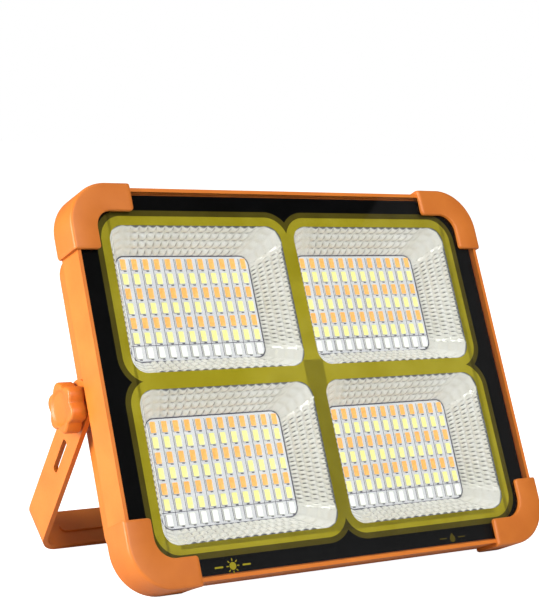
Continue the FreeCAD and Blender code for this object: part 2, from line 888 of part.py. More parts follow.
def led_groups():
    """The light-emitting packages: three amber rows, three yellow rows and one clear row."""
    rows = int(size("led_rows"))
    columns = int(size("led_columns"))
    kinds = {"amber_leds": (0, 2, 4), "yellow_leds": (1, 3, 5), "clear_leds": (6,)}
    height = size("led_height")
    for name, chosen in kinds.items():
        group = []
        for across, up in WINDOWS.values():
            centre_x = across * size(HALF_PITCH_X)
            centre_y = up * size(HALF_PITCH_Y)
            for row in chosen:
                y = centre_y + ((rows - 1) / 2 - row) * size("led_pitch_up")
                for column in range(columns):
                    x = centre_x + (column - (columns - 1) / 2) * size("led_pitch_across")
                    front = size("led_plane") - height
                    group.append(block(x, y, front, size("led_width"), size("led_length"), height))
        plain(name, Part.makeCompound(group))


def light_engine():
    for place, (across, up) in WINDOWS.items():
        reflector(f"reflector_{place}", across, up)
        led_board(f"led_board_{place}", across, up)
    led_groups()

    body = new_body("spreader_blank")
    front = "led_plane + board_thickness"
    outline = sketch_on(body, z=f"-({front})")
    rounded_rectangle(outline, "spreader_width", "spreader_height", "spreader_corner")
    pad(body, outline, "spreader_thickness")
    back = size(front)
    small = SMALL_SCREW_RADIUS
    thickness = size("spreader_thickness")
    holes = [(x, y, small + PASSAGE) for x, y in SPREADER_SCREWS + LED_LEADS]
    holes += [(x, y, small + CLEARANCE) for x, y in board_screw_places()]
    drilled("heat_spreader", body, [through(x, y, back, thickness, r) for x, y, r in holes])
    tip = back + SPREADER_SCREW_LENGTH
    plain("spreader_screws", screws("spreader", SPREADER_SCREWS, back, small, tip))
    tip = back + thickness
    led_plane = size("led_plane")
    plain("board_screws", screws("board", board_screw_places(), led_plane, small, tip))

    jumpers = []
    gap = 2 * size(HALF_PITCH_Y) - size("board_height")
    middle = led_plane + size("board_thickness") / 2
    for side in SIDES.values():
        for step in (-2, 2):
            start = Vector(side * size(HALF_PITCH_X) + step, -gap / 2, -middle)
            jumpers.append(Part.makeCylinder(WIRE_RADIUS, gap, start, Vector(0, 1, 0)))
    plain("board_jumpers", Part.makeCompound(jumpers))


def board_screw_places():
    """All sixteen LED-board screws."""
    places = []
    for across, up in WINDOWS.values():
        for x, y in board_holes():
            places.append((across * size(HALF_PITCH_X) + x, up * size(HALF_PITCH_Y) + y))
    return places


# ---------------------------------------------------------------- power and control
def batteries():
    """Two flat lithium pouches behind the heat spreader, on foam pads."""
    for side, sign in SIDES.items():
        name = f"battery_{side}"
        body = new_body(name)
        sketch = sketch_on(body, x=f"{sign} * battery_across", y="battery_up", z="-battery_front")
        rounded_rectangle(sketch, "battery_width", "battery_height", "battery_corner")
        pad(body, sketch, "battery_thickness")
        front = -size("battery_front")
        back = front - size("battery_thickness")
        for level in (front, back):
            rim = edges_where(
                body.Shape,
                lambda a, b: abs(a.z - level) < 1e-6 and abs(b.z - level) < 1e-6,
            )
            dress(body, "PartDesign::Fillet", rim[:1], "battery_rounding")
        keep(name, body)
    foam = []
    foam_front = size("battery_front + battery_thickness")
    foam_back = size("shell_depth - shell_wall - solar_recess")
    width = size("foam_width")
    height = size("foam_height")
    for sign in SIDES.values():
        centre_x = sign * size("battery_across")
        foam.append(block(centre_x, size("battery_up"), foam_front, width, height, foam_back - foam_front))
    plain("battery_pads", Part.makeCompound(foam))


def control_board():
    body = new_body("control_blank")
    outline = sketch_on(body, y="control_up", z="-control_front")
    rounded_rectangle(outline, "control_width", "control_height", "board_corner")
    pad(body, outline, "board_thickness")
    front = size("control_front")
    small = SMALL_SCREW_RADIUS
    thickness = size("board_thickness")
    holes = [through(x, y, front, thickness, small + PASSAGE) for x, y in CONTROL_SCREWS]
    drilled("control_board", body, holes)
    tip = front + CONTROL_SCREW_LENGTH
    plain("control_screws", screws("control", CONTROL_SCREWS, front, small, tip))


def usb_socket(name, facts):
    """A board-mounted socket: a metal shell open at the back, with its contact tongue."""
    body = new_body(name)
    place = {"x": str(facts["x"]), "y": "usb_up"}
    rear = "control_front + board_thickness"
    mouth = "shell_depth - bay_depth"
    width, height = facts["outer"]
    outer_corner, inner_corner = facts["corners"]
    wall = facts["wall"]
    shell = sketch_on(body, z=f"-({rear})", **place)
    rounded_rectangle(shell, str(width), str(height), str(outer_corner))
    pad(body, shell, f"{mouth} - ({rear})")
    opening = sketch_on(body, z=f"-({mouth})", **place)
    rounded_rectangle(opening, str(width - 2 * wall), str(height - 2 * wall), str(inner_corner))
    pocket(body, opening, str(SOCKET_DEPTH), reverse=True)
    # The tongue's root is let a little into the floor of the socket.
    root = SOCKET_DEPTH + 0.2
    blade = sketch_on(body, z=f"-({mouth}) + {root}", **place)
    tongue_width, tongue_height = facts["tongue"]
    rounded_rectangle(blade, str(tongue_width), str(tongue_height), "0.2")
    pad(body, blade, str(root - facts["tongue_recess"]))
    keep(name, body)


def board_components():
    """Parts soldered to the rear of the control board."""
    rear = size("control_front + board_thickness")
    for name, facts in USB_SOCKETS.items():
        usb_socket(name, facts)

    coil_x, coil_y, coil_radius, coil_height = 20, 52, 6, 5
    plain("charge_inductor", post(coil_x, coil_y, rear, rear + coil_height, coil_radius))
    # Centre, width, height and thickness of the charger, driver and power-path chips
    chips = [(36, 52, 5, 5, 1), (-34, 50, 9.9, 6, 1.7), (4, 53, 4, 4, 1)]
    chips = [block(x, y, rear, width, height, thick) for x, y, width, height, thick in chips]
    plain("control_chips", Part.makeCompound(chips))
    plugs = [block(x, PLUG_UP, rear, *PLUG_SIZE) for x in BATTERY_PLUG_X]
    plain("battery_plugs", Part.makeCompound(plugs))
    button_up = size("button_up")
    width = size("switch_width")
    switch = block(size("button_across"), button_up, rear, width, width, size("switch_height"))
    plain("button_switch", switch)
    lamps = [block(x, button_up, rear, *INDICATOR_LED_SIZE) for x in INDICATORS]
    plain("indicator_leds", Part.makeCompound(lamps))
    pipe_foot = rear + INDICATOR_LED_SIZE[2] + 0.6
    pipe_end = size("shell_depth") + 0.2
    pipes = [post(x, button_up, pipe_foot, pipe_end, PIPE_RADIUS) for x in INDICATORS]
    plain("indicator_lights", Part.makeCompound(pipes))


def inner_wires():
    """Short straight leads between the boards, the batteries and the solar panel."""
    battery_leads = []
    start_y = size("battery_up + battery_height / 2")
    rear = size("control_front + board_thickness")
    plug_width, plug_height, plug_thickness = PLUG_SIZE
    length = PLUG_UP - plug_height / 2 - start_y
    for x in BATTERY_PLUG_X:
        for step in (-plug_width / 6, plug_width / 6):
            start = Vector(x + step, start_y, -rear - plug_thickness / 2)
            battery_leads.append(Part.makeCylinder(WIRE_RADIUS, length, start, Vector(0, 1, 0)))
    plain("battery_leads", Part.makeCompound(battery_leads))
    solar_back = size("shell_depth - solar_recess")
    solar = [post(x, y, rear, solar_back, WIRE_RADIUS) for x, y in SOLAR_LEADS]
    plain("solar_leads", Part.makeCompound(solar))
    board_back = size("led_plane + board_thickness")
    leds = [post(x, y, board_back, size("control_front"), WIRE_RADIUS) for x, y in LED_LEADS]
    plain("led_leads", Part.makeCompound(leds))


def solar_panel():
    """Backing board, two rows of silicon cells and a clear cover, in the rear recess."""
    bottom = "shell_depth - solar_recess"
    body = new_body("solar_board")
    outline = sketch_on(body, y="solar_centre_up", z=f"-({bottom})")
    rounded_rectangle(outline, "solar_width", "solar_height", "solar_corner")
    pad(body, outline, "solar_board_thickness")
    keep("solar_board", body)

    cells = []
    cells_front = size(bottom) + size("solar_board_thickness")
    columns = 12
    margin = 4
    gap = 1.2
    cell_width = (size("solar_width") - 2 * margin - (columns - 1) * gap) / columns
    cell_height = (size("solar_height") - 2 * margin - gap) / 2
    for column in range(columns):
        x = (column - (columns - 1) / 2) * (cell_width + gap)
        for half in (-1, 1):
            y = size("solar_centre_up") + half * (cell_height + gap) / 2
            cells.append(block(x, y, cells_front, cell_width, cell_height, size("cell_thickness")))
    plain("solar_cells", Part.makeCompound(cells))

    cover = new_body("solar_cover")
    cover_front = f"{bottom} + solar_board_thickness + cell_thickness"
    outline = sketch_on(cover, y="solar_centre_up", z=f"-({cover_front})")
    rounded_rectangle(outline, "solar_width", "solar_height", "solar_corner")
    pad(cover, outline, "solar_cover_thickness")
    keep("solar_cover", cover)


# ---------------------------------------------------------------- moving pieces
def power_button():
    """Round cap with a retaining flange inside the back wall and a stem to its switch."""
    body = new_body("power_button")
    place = {"x": "button_across", "y": "button_up"}
    seat = "-shell_depth + shell_wall + button_flange_gap + button_flange_thickness"
    flange = sketch_on(body, z=seat, **place)
    circle_on(flange, "button_flange_radius")
    pad(body, flange, "button_flange_thickness")
    cap = sketch_on(body, z="-shell_depth + shell_wall + 1", **place)
    circle_on(cap, "button_radius")
    pad(body, cap, "shell_wall + 1 + button_proud")
    switch_top = "-control_front - board_thickness - switch_height"
    stem = sketch_on(body, z=f"{switch_top} - button_stroke - button_flange_gap", **place)
    circle_on(stem, "button_stem_radius")
    pad(body, stem, "button_stem_length")
    face = -size("shell_depth + button_proud")
    number = next(
        index
        for index, edge in enumerate(body.Shape.Edges, start=1)
        if abs(edge.BoundBox.ZMin - face) < 1e-6 and abs(edge.BoundBox.ZMax - face) < 1e-6
    )
    dress(body, "PartDesign::Fillet", [f"Edge{number}"], "button_rounding")
    keep("power_button", body)


def port_cover():
    """Rubber-faced flap over the two sockets, hinged on a pin along its upper edge."""
    body = new_body("port_cover")
    plate_inner = "shell_depth - bay_depth + flap_seat_gap"
    plate_low = "bay_up - bay_height / 2 + flap_seat_gap"
    plate_up = f"{plate_low} + flap_height / 2"
    width = "bay_width - 2 * flap_gap"
    plate = sketch_on(body, x="bay_across", y=plate_up, z=f"-({plate_inner})")
    rounded_rectangle(plate, width, "flap_height", "flap_corner")
    pad(body, plate, "flap_thickness")
    barrel_end = "bay_across + bay_width / 2 - flap_gap"
    barrel = sketch_on(body, "YZ_Plane", "barrel_up", "-barrel_depth", barrel_end)
    circle_on(barrel, "barrel_radius")
    pad(body, barrel, width)
    web_up = "barrel_up - flap_web_height / 2"
    web = sketch_on(body, x="bay_across", y=web_up, z="-barrel_depth + flap_web_thickness / 2")
    rounded_rectangle(web, width, "flap_web_height", "0.1")
    pad(body, web, "flap_web_thickness")
    bore = sketch_on(body, "YZ_Plane", "barrel_up", "-barrel_depth", f"{barrel_end} + 1")
    circle_on(bore, "pin_radius + running_gap")
    pocket(body, bore, "bay_width + 2")
    for facts in USB_SOCKETS.values():
        across, up, length = facts["plug"]
        plug = sketch_on(body, x=str(facts["x"]), y="usb_up", z=f"-({plate_inner})")
        rounded_rectangle(plug, str(across), str(up), "0.6")
        pad(body, plug, str(length), reverse=False)
    grip_up = f"{plate_low} + flap_corner"
    grip = sketch_on(body, x="bay_across", y=grip_up, z=f"-({plate_inner}) - flap_thickness")
    rounded_rectangle(grip, "grip_length", "grip_height", "grip_height / 2 - 0.1")
    pad(body, grip, "grip_proud")
    keep("port_cover", body)

    pin = doc.addObject("Part::Cylinder", "port_cover_pin")
    bind(pin, "Radius", "pin_radius")
    bind(pin, "Height", "pin_length")
    keep("port_cover_pin", pin, Placement(
        Vector(size("bay_across - pin_length / 2"), size("barrel_up"), -size("barrel_depth")),
        Rotation(Vector(0, 1, 0), 90),
    ))


def on_bar(body, across, drop):
    """A sketch parallel to the bar's slanted faces, dropped from the pivot by a distance."""
    sketch = sketch_on(body, "XZ_Plane", x=across, z=drop)
    sketch.AttachmentOffset = Placement(Vector(), Rotation(Vector(1, 0, 0), 1))
    bind(sketch, "AttachmentOffset.Rotation.Angle", "strap_slant")
    return sketch


def bracket():
    """Flat steel strap bent to a U, drawn with its arms hanging straight down the panel.

    It is drawn about the pivot axis: the pivot is y = 0 and the strap's mid-plane z = 0.
    The strap's bends are slightly oblique, so the bar is lower at its front edge.
    """
    body = new_body("bracket")
    slope = math.tan(math.radians(size("strap_slant")))
    outline = sketch_on(body)
    bent_strip(
        outline,
        size(ARM_OUTER),
        size("strap_tip"),
        -size("strap_reach"),
        size("strap_thickness"),
        size("strap_bend"),
    )
    strap = pad(body, outline, "strap_width", reverse=False, midplane=True)
    strap.UseCustomVector = True
    strap.AlongSketchNormal = True
    strap.Direction = Vector(0, -slope, 1)
    refresh(body, strap)

    def arm_tip(a, b):
        across = abs(a.y - b.y) < 1e-6 and abs(a.z - b.z) < 1e-6
        return across and a.y > 0

    dress(body, "PartDesign::Fillet", edges_where(body.Shape, arm_tip), "strap_tip_corner")

    hole = sketch_on(body, "YZ_Plane")
    circle_on(hole, "stud_hole_radius")
    pocket(body, hole, f"2 * ({ARM_OUTER}) + 2", midplane=True)
    slot = sketch_on(body, "YZ_Plane", x="-(slot_start + slot_end) / 2")
    rounded_rectangle(slot, "slot_end - slot_start", "slot_width", "slot_width / 2 - 0.4")
    pocket(body, slot, f"2 * ({ARM_OUTER}) + 2", midplane=True)

    bead = on_bar(body, "0", "strap_reach - strap_thickness - bead_height")
    bead_length = f"2 * ({ARM_OUTER} - strap_bend - 6)"
    rounded_rectangle(bead, bead_length, "bead_width", "bead_width / 2 - 0.1")
    pad(body, bead, "bead_height + 0.5", reverse=False)
    for place, radius in (
        ("0", "bar_hole_radius"),
        ("-side_hole_pitch / 2", "side_hole_radius"),
        ("side_hole_pitch / 2", "side_hole_radius"),
    ):
        drill = on_bar(body, place, "strap_reach + 1")
        circle_on(drill, radius)
        pocket(body, drill, "strap_thickness + bead_height + 2")
    pivot = Vector(0, size("pivot_up"), -size("pivot_depth"))
    angle = size("bracket_open_angle")
    keep("bracket", body, Placement(pivot, Rotation(Vector(1, 0, 0), angle)))


def turned(side, distance):
    """Place a piece drawn along +X about its own axis on one pivot, facing outwards."""
    turn = Rotation(Vector(0, 0, 1), 0 if side > 0 else 180)
    return Placement(Vector(side * distance, size("pivot_up"), -size("pivot_depth")), turn)


def ring(name, outer, bore, length, side, start):
    """A washer or bush on the pivot axis, from start outwards."""
    body = new_body(name)
    outline = sketch_on(body, "YZ_Plane")
    circle_on(outline, outer)
    circle_on(outline, bore)
    pad(body, outline, length, reverse=False)
    keep(name, body, turned(side, start))


def knob(name, side):
    """Six-lobed hand knob with a dished face and a blind hole for its stud."""
    body = new_body(name)
    outline = sketch_on(body, "YZ_Plane")
    circle_on(outline, "knob_radius")
    pad(body, outline, "knob_length", reverse=False)
    scallop = sketch_on(body, "YZ_Plane", x="scallop_centre", z="knob_length")
    circle_on(scallop, "scallop_radius")
    first = pocket(body, scallop, "knob_length")
    axis = next(item for item in body.Origin.OriginFeatures if item.Role == "X_Axis")
    pattern = body.newObject("PartDesign::PolarPattern", "Lobes")
    pattern.Originals = [first]
    pattern.Axis = (axis, [""])
    pattern.Angle = 360
    bind(pattern, "Occurrences", "knob_lobes")
    body.Tip = pattern
    doc.recompute()

    def ridge(a, b):
        along = abs(a.y - b.y) < 1e-6 and abs(a.z - b.z) < 1e-6
        return along and abs(a.x - b.x) > 1 and math.hypot(a.y, a.z) > size("knob_radius") - 0.1

    dress(body, "PartDesign::Fillet", edges_where(body.Shape, ridge), "knob_ridge_rounding")
    face = size("knob_length")
    rim = edges_where(body.Shape, lambda a, b: abs(a.x - face) < 1e-6 and abs(b.x - face) < 1e-6)
    dress(body, "PartDesign::Fillet", rim[:1], "knob_rim_rounding")
    dish = sketch_on(body, "YZ_Plane", z="knob_length")
    circle_on(dish, "knob_dish_radius")
    pocket(body, dish, "knob_dish_depth")
    blind = sketch_on(body, "YZ_Plane")
    circle_on(blind, "stud_radius")
    pocket(body, blind, "knob_length - knob_face_thickness", reverse=True)
    keep(name, body, turned(side, size(KNOB_FOOT)))


def stud(name, side):
    """Threaded steel stud held in the knob, reaching into the housing's insert."""
    body = new_body(name)
    top = "knob_length - knob_face_thickness"
    outline = sketch_on(body, "YZ_Plane", z=top)
    circle_on(outline, "stud_radius")
    pad(body, outline, f"{top} + ({KNOB_FOOT}) - boss_face + insert_length")
    dress(body, "PartDesign::Chamfer", [far_end_edge(body.Shape)], "stud_chamfer")
    keep(name, body, turned(side, size(KNOB_FOOT)))


def far_end_edge(shape):
    """The circular edge with the lowest X."""
    lowest = min(range(len(shape.Edges)), key=lambda k: shape.Edges[k].BoundBox.XMax)
    return f"Edge{lowest + 1}"


def pivots():
    for side_name, side in SIDES.items():
        insert_start = size("boss_face - insert_length - insert_sunk")
        ring(
            f"insert_{side_name}",
            "insert_radius",
            "stud_radius + running_gap",
            "insert_length",
            side,
            insert_start,
        )
        ring(
            f"friction_washer_{side_name}",
            "pad_washer_radius",
            "stud_hole_radius",
            "pad_washer_thickness",
            side,
            size("boss_face"),
        )
        ring(
            f"clamp_washer_{side_name}",
            "clamp_washer_radius",
            "stud_hole_radius",
            "clamp_washer_thickness",
            side,
            size(f"{ARM_OUTER} + clamp_gap"),
        )
        knob(f"knob_{side_name}", side)
        stud(f"stud_{side_name}", side)


# ---------------------------------------------------------------- standing place
def stance():
    """Tip the lamp back until its bumpers and the bracket's bar share one floor.

    The bumpers touch along the back edge of their skirts, the bar along the front
    edge of its outer face.
    """
    heel_up = -size("glass_height / 2 + rim_width + bumper_wall")
    heel_depth = size("frame_depth")
    angle = math.radians(size("bracket_open_angle"))
    half = size("strap_width") / 2
    reach = size("strap_reach") + half * math.tan(math.radians(size("strap_slant")))
    toe_up = size("pivot_up") - reach * math.cos(angle) - half * math.sin(angle)
    toe_depth = size("pivot_depth") + reach * math.sin(angle) - half * math.cos(angle)
    lean = math.degrees(math.atan2(toe_depth - heel_depth, toe_up - heel_up))
    return Placement(Vector(), Rotation(Vector(1, 0, 0), lean))


def stand_up():
    """Place every piece, with the box of the whole lamp centred over the origin."""
    tipped = stance()
    solids = []
    for item, local in PIECES.values():
        shape = item.Shape.copy()
        shape.Placement = tipped.multiply(local).multiply(shape.Placement)
        solids.append(shape)
    box = Part.makeCompound(solids).optimalBoundingBox(False)
    middle_x = (box.XMin + box.XMax) / 2
    middle_y = (box.YMin + box.YMax) / 2
    lift = Placement(Vector(-middle_x, -middle_y, -box.ZMin), Rotation())
    for item, local in PIECES.values():
        # A mirror image is taken across X = 0, so it follows its placed source by itself.
        if item.TypeId != "Part::Mirroring":
            item.Placement = lift.multiply(tipped).multiply(local).multiply(item.Placement)
    doc.recompute()


def check_and_write():
    for item in doc.Objects:
        if "Invalid" in item.State or "Error" in item.State:
            raise RuntimeError(f"{item.Label} failed: {item.State}")
    os.makedirs("parts", exist_ok=True)
    for name, (item, _) in PIECES.items():
        shape = item.Shape
        if shape.isNull() or not shape.isValid() or not shape.Solids:
            raise RuntimeError(f"{name} has no valid solid")
        shape.exportStep(f"parts/{name}.step")


front_frame()
rear_housing()
housing_screws()
corner_bumpers()
glass_and_gasket()
prints()
light_engine()
batteries()
control_board()
board_components()
inner_wires()
solar_panel()
power_button()
port_cover()
bracket()
pivots()
doc.recompute()
stand_up()
check_and_write()
print(f"{len(PIECES)} pieces")
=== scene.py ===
"""Looks of a portable solar flood light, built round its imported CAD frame.

Pieces are drawn face up in millimetres, as on a bench: X along the panel, Y up the panel,
Z out of the glass, with the middle of the glass front as the origin. stand() then puts
them into the lamp's standing place, in metres.
"""
import json
import math

import bmesh
import bpy
from mathutils import Matrix, Vector


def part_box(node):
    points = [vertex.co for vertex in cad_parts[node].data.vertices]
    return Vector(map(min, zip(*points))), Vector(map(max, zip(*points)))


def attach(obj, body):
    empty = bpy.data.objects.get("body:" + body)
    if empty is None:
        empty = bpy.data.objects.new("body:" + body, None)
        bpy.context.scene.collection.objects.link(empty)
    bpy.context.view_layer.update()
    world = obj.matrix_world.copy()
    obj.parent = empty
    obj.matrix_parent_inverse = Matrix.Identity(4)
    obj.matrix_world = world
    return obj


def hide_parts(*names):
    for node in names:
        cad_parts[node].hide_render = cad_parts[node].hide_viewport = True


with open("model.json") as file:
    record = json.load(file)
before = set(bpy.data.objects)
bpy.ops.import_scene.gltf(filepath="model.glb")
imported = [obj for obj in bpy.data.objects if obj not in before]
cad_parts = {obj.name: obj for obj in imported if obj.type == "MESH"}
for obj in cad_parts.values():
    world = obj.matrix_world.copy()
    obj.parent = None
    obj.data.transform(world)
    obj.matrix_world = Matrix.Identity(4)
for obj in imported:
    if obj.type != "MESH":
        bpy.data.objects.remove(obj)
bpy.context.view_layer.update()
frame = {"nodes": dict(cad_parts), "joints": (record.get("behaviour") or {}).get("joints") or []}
NODES = frame["nodes"]
MM = 0.001

# ------------------------------------------------------------------ driving sizes, mm
GLASS_WIDTH = 240.0
GLASS_HEIGHT = 185.5
GLASS_THICKNESS = 2.5
WINDOW_WIDTH = 98.2
WINDOW_HEIGHT = 72.6
WINDOW_GAP = 8.0
WINDOW_CORNER = 7.75
CUP_BASE = (77.0, 53.4, 5.0)
CUP_DEPTH = 19.5
CUP_GLASS_GAP = 0.15
CUP_MOUTH_MARGIN = 0.5
CUP_WALL = 1.1
CUP_FLANGE = 3.0
CUP_FLANGE_THICKNESS = 0.7
LONG_WALL_PADS = {"count": 17, "rows": 4, "staggered": False, "pad_height": 1.2}
SHORT_WALL_PADS = {"count": 22, "rows": 5, "staggered": True, "pad_height": 1.0}
PAD_SAMPLES = 6
PAD_ROUNDNESS = 0.75
PAD_END_FADE = 12
CORNER_PAD_HEIGHT = 0.7
CORNER_STEPS = 16
CORNER_LEVELS = 24
LED_PITCH = (6.3, 7.4)
LED_SIZE = (3.3, 5.7, 0.9)
LED_RIM_HEIGHT = 0.15
LED_FILL_SINK = 0.05
LED_COLUMNS = 12
LED_ROWS = 7
TRACE_WIDTH = 0.3
TRACE_LIFT = 0.03
TRACE_CORNER = 0.1
TRACE_TO_LED = 0.45
LAND_DASH_AND_SHADOW = (1.6, 0.5, 0.15)
CUP_SHADOW_WIDTH = 0.5
BUMPER_REACH = (35.0, 33.0)
BUMPER_LEG = 14.0
BUMPER_RADIUS = 22.0
BUMPER_INNER_RADIUS = {"top": 9.0, "bottom": 10.0}
BUMPER_PROUD = 2.0
BUMPER_DEPTH = 16.0
BUMPER_WALL = 2.0
BUMPER_OUTER_ROUNDING = 1.5
BUMPER_INNER_ROUNDING = 0.7
BUMPER_END_ROUNDING = 1.6
BUMPER_STRAIGHT = 12.0
RIM = 1.8
KNOB_RADIUS = 12.2
KNOB_LENGTH = 8.1
KNOB_LOBES = 6
KNOB_LOBE_DEPTH = 2.3
KNOB_LOBE_SHARPNESS = 0.7
KNOB_RIM_ROUNDING = 1.2
KNOB_DISH = 8.0
KNOB_STEPS = 144
LAMP_MARK = (-69.0, -88.8)
DROP_MARK = (63.0, -88.9)
CELL_COLUMNS = 12
CELL_FINGERS = 34
CELL_FINGER_PITCH = 3.0
CELL_FIELD_HEIGHT = 102.0
CELL_FIELD_CENTRE = -15.0
CELL_FACE = -40.8
BUSBAR_OFFSET = 3.6

CORNERS = {
    "top_left": (-1, 1),
    "top_right": (1, 1),
    "bottom_left": (-1, -1),
    "bottom_right": (1, -1),
}


def window_centre(corner):
    across, up = CORNERS[corner]
    return (
        across * (WINDOW_WIDTH + WINDOW_GAP) / 2,
        up * (WINDOW_HEIGHT + WINDOW_GAP) / 2,
    )


# ------------------------------------------------------------------ place of the bench
JOINTS = {joint["name"]: joint for joint in frame["joints"]}
OUT_OF_GLASS = Vector(JOINTS["power_button_press"]["axis"])
glass_low, glass_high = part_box("front_glass")
GLASS_FRONT = (glass_low + glass_high) / 2 + OUT_OF_GLASS * GLASS_THICKNESS / 2 * MM
LEAN = math.atan2(-OUT_OF_GLASS.y, OUT_OF_GLASS.z)
BENCH = Matrix.Translation(GLASS_FRONT) @ Matrix.Rotation(LEAN, 4, "X") @ Matrix.Scale(MM, 4)


# ------------------------------------------------------------------ mesh helpers
def stand(name, mesh, body, materials, matrix=BENCH, smooth_angle=35):
    """Turn a bench bmesh into a standing piece that rides on a body."""
    bmesh.ops.remove_doubles(mesh, verts=mesh.verts, dist=1e-4)
    bmesh.ops.recalc_face_normals(mesh, faces=mesh.faces)
    mesh.transform(matrix)
    data = bpy.data.meshes.new(name)
    mesh.to_mesh(data)
    mesh.free()
    for material in materials:
        data.materials.append(material)
    data.shade_smooth()
    data.set_sharp_from_angle(angle=math.radians(smooth_angle))
    piece = bpy.data.objects.new(name, data)
    bpy.context.scene.collection.objects.link(piece)
    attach(piece, body)
    return piece


def skin(mesh, rows, closed_across=True):
    """Quads between rows of points; each row is a list of (x, y, z)."""
    grid = [[mesh.verts.new(point) for point in row] for row in rows]
    count = len(grid[0])
    last = count if closed_across else count - 1
    for upper, lower in zip(grid, grid[1:]):
        for k in range(last):
            following = (k + 1) % count
            mesh.faces.new((upper[k], upper[following], lower[following], lower[k]))
    return grid


def cap(mesh, loop, material=0):
    face = mesh.faces.new(loop)
    face.material_index = material


def rounded_outline(width, height, radius, per_corner=8):
    """Points round a rounded rectangle, counter-clockwise."""
    points = []
    for k in range(4):
        cx = (width / 2 - radius) * (1 if k in (0, 3) else -1)
        cy = (height / 2 - radius) * (1 if k in (0, 1) else -1)
        for step in range(per_corner + 1):
            turn = math.pi / 2 * (k + step / per_corner)
            points.append((cx + radius * math.cos(turn), cy + radius * math.sin(turn)))
    return points


def slab(mesh, outline, centre, low, high):
    """A square-edged plate with the given outline."""
    cx, cy = centre
    grid = skin(mesh, [[(cx + x, cy + y, z) for x, y in outline] for z in (low, high)])
    cap(mesh, grid[0])
    cap(mesh, grid[-1])


# ------------------------------------------------------------------ material helpers
NOISE_ROUGHNESS = 0.55
RELIEF_STRENGTH = 0.35
NOISE_MIDDLE = (0.3, 0.7)
CREASE_RANGE = (0.4, 0.9)
CREASE_SAMPLES = 8
GLASS_REFLECTANCE = 0.04
FRESNEL_POWER = 5.0


def srgb(red, green, blue):
    """Linear colour from 0-255 display values."""
    def linear(value):
        value /= 255
        return value / 12.92 if value <= 0.04045 else ((value + 0.055) / 1.055) ** 2.4
    return (linear(red), linear(green), linear(blue), 1.0)


def new_material(name):
    material = bpy.data.materials.new(name)
    material.use_nodes = True
    tree = material.node_tree
    return material, tree, tree.nodes["Principled BSDF"]


def noise(tree, scale, detail=4.0, stretch=(1, 1, 1)):
    """Noise over the object's own coordinates; scale is in features per metre."""
    coordinates = tree.nodes.new("ShaderNodeTexCoord")
    mapping = tree.nodes.new("ShaderNodeMapping")
    mapping.inputs["Scale"].default_value = stretch
    texture = tree.nodes.new("ShaderNodeTexNoise")
    texture.inputs["Scale"].default_value = scale
    texture.inputs["Detail"].default_value = detail
    texture.inputs["Roughness"].default_value = NOISE_ROUGHNESS
    tree.links.new(coordinates.outputs["Object"], mapping.inputs["Vector"])
    tree.links.new(mapping.outputs["Vector"], texture.inputs["Vector"])
    return texture.outputs["Fac"]


def ramp(tree, value, stops):
    """A colour ramp; stops are (position, colour)."""
    node = tree.nodes.new("ShaderNodeValToRGB")
    elements = node.color_ramp.elements
    while len(elements) < len(stops):
        elements.new(0.5)
    for element, (position, colour) in zip(elements, stops):
        element.position = position
        element.color = colour
    tree.links.new(value, node.inputs["Fac"])
    return node.outputs["Color"]


def spread(tree, value, low, high):
    """Stretch the middle of a noise value over low..high."""
    node = tree.nodes.new("ShaderNodeMapRange")
    node.inputs["From Min"].default_value = NOISE_MIDDLE[0]
    node.inputs["From Max"].default_value = NOISE_MIDDLE[1]
    node.inputs["To Min"].default_value = low
    node.inputs["To Max"].default_value = high
    tree.links.new(value, node.inputs["Value"])
    return node.outputs["Result"]


def bump(tree, shader, height, distance):
    """Fine relief, distance metres deep."""
    node = tree.nodes.new("ShaderNodeBump")
    node.inputs["Strength"].default_value = RELIEF_STRENGTH
    node.inputs["Distance"].default_value = distance
    tree.links.new(height, node.inputs["Height"])
    tree.links.new(node.outputs["Normal"], shader.inputs["Normal"])


def surface(
    name,
    light,
    dark,
    rough=(0.35, 0.5),
    patch=60.0,
    grain=2500.0,
    relief=0.00002,
    metallic=0.0,
    stretch=(1, 1, 1),
    **sockets,
):
    """A two-tone surface with patches, a fine grain and uneven gloss."""
    material, tree, shader = new_material(name)
    blotches = noise(tree, patch, 3.0, stretch)
    fine = noise(tree, grain, 2.0, stretch)
    tones = ramp(tree, blotches, [(0.35, dark), (0.68, light)])
    tree.links.new(tones, shader.inputs["Base Color"])
    tree.links.new(spread(tree, fine, *rough), shader.inputs["Roughness"])
    bump(tree, shader, fine, relief)
    shader.inputs["Metallic"].default_value = metallic
    for socket, value in sockets.items():
        shader.inputs[socket.replace("_", " ")].default_value = value
    return material


def paint_crease_shade(material, reach, tone):
    """Paint shade into the surface's colour where it is shut in, within reach metres."""
    tree = material.node_tree
    shader = tree.nodes["Principled BSDF"]
    colour = shader.inputs["Base Color"].links[0].from_socket
    shut_in = tree.nodes.new("ShaderNodeAmbientOcclusion")
    shut_in.samples = CREASE_SAMPLES
    shut_in.inputs["Distance"].default_value = reach
    sharper = tree.nodes.new("ShaderNodeMapRange")
    sharper.inputs["From Min"].default_value = CREASE_RANGE[0]
    sharper.inputs["From Max"].default_value = CREASE_RANGE[1]
    mix = tree.nodes.new("ShaderNodeMixRGB")
    mix.inputs["Color1"].default_value = tone
    tree.links.new(shut_in.outputs["AO"], sharper.inputs["Value"])
    tree.links.new(sharper.outputs["Result"], mix.inputs["Fac"])
    tree.links.new(colour, mix.inputs["Color2"])
    tree.links.new(mix.outputs["Color"], shader.inputs["Base Color"])


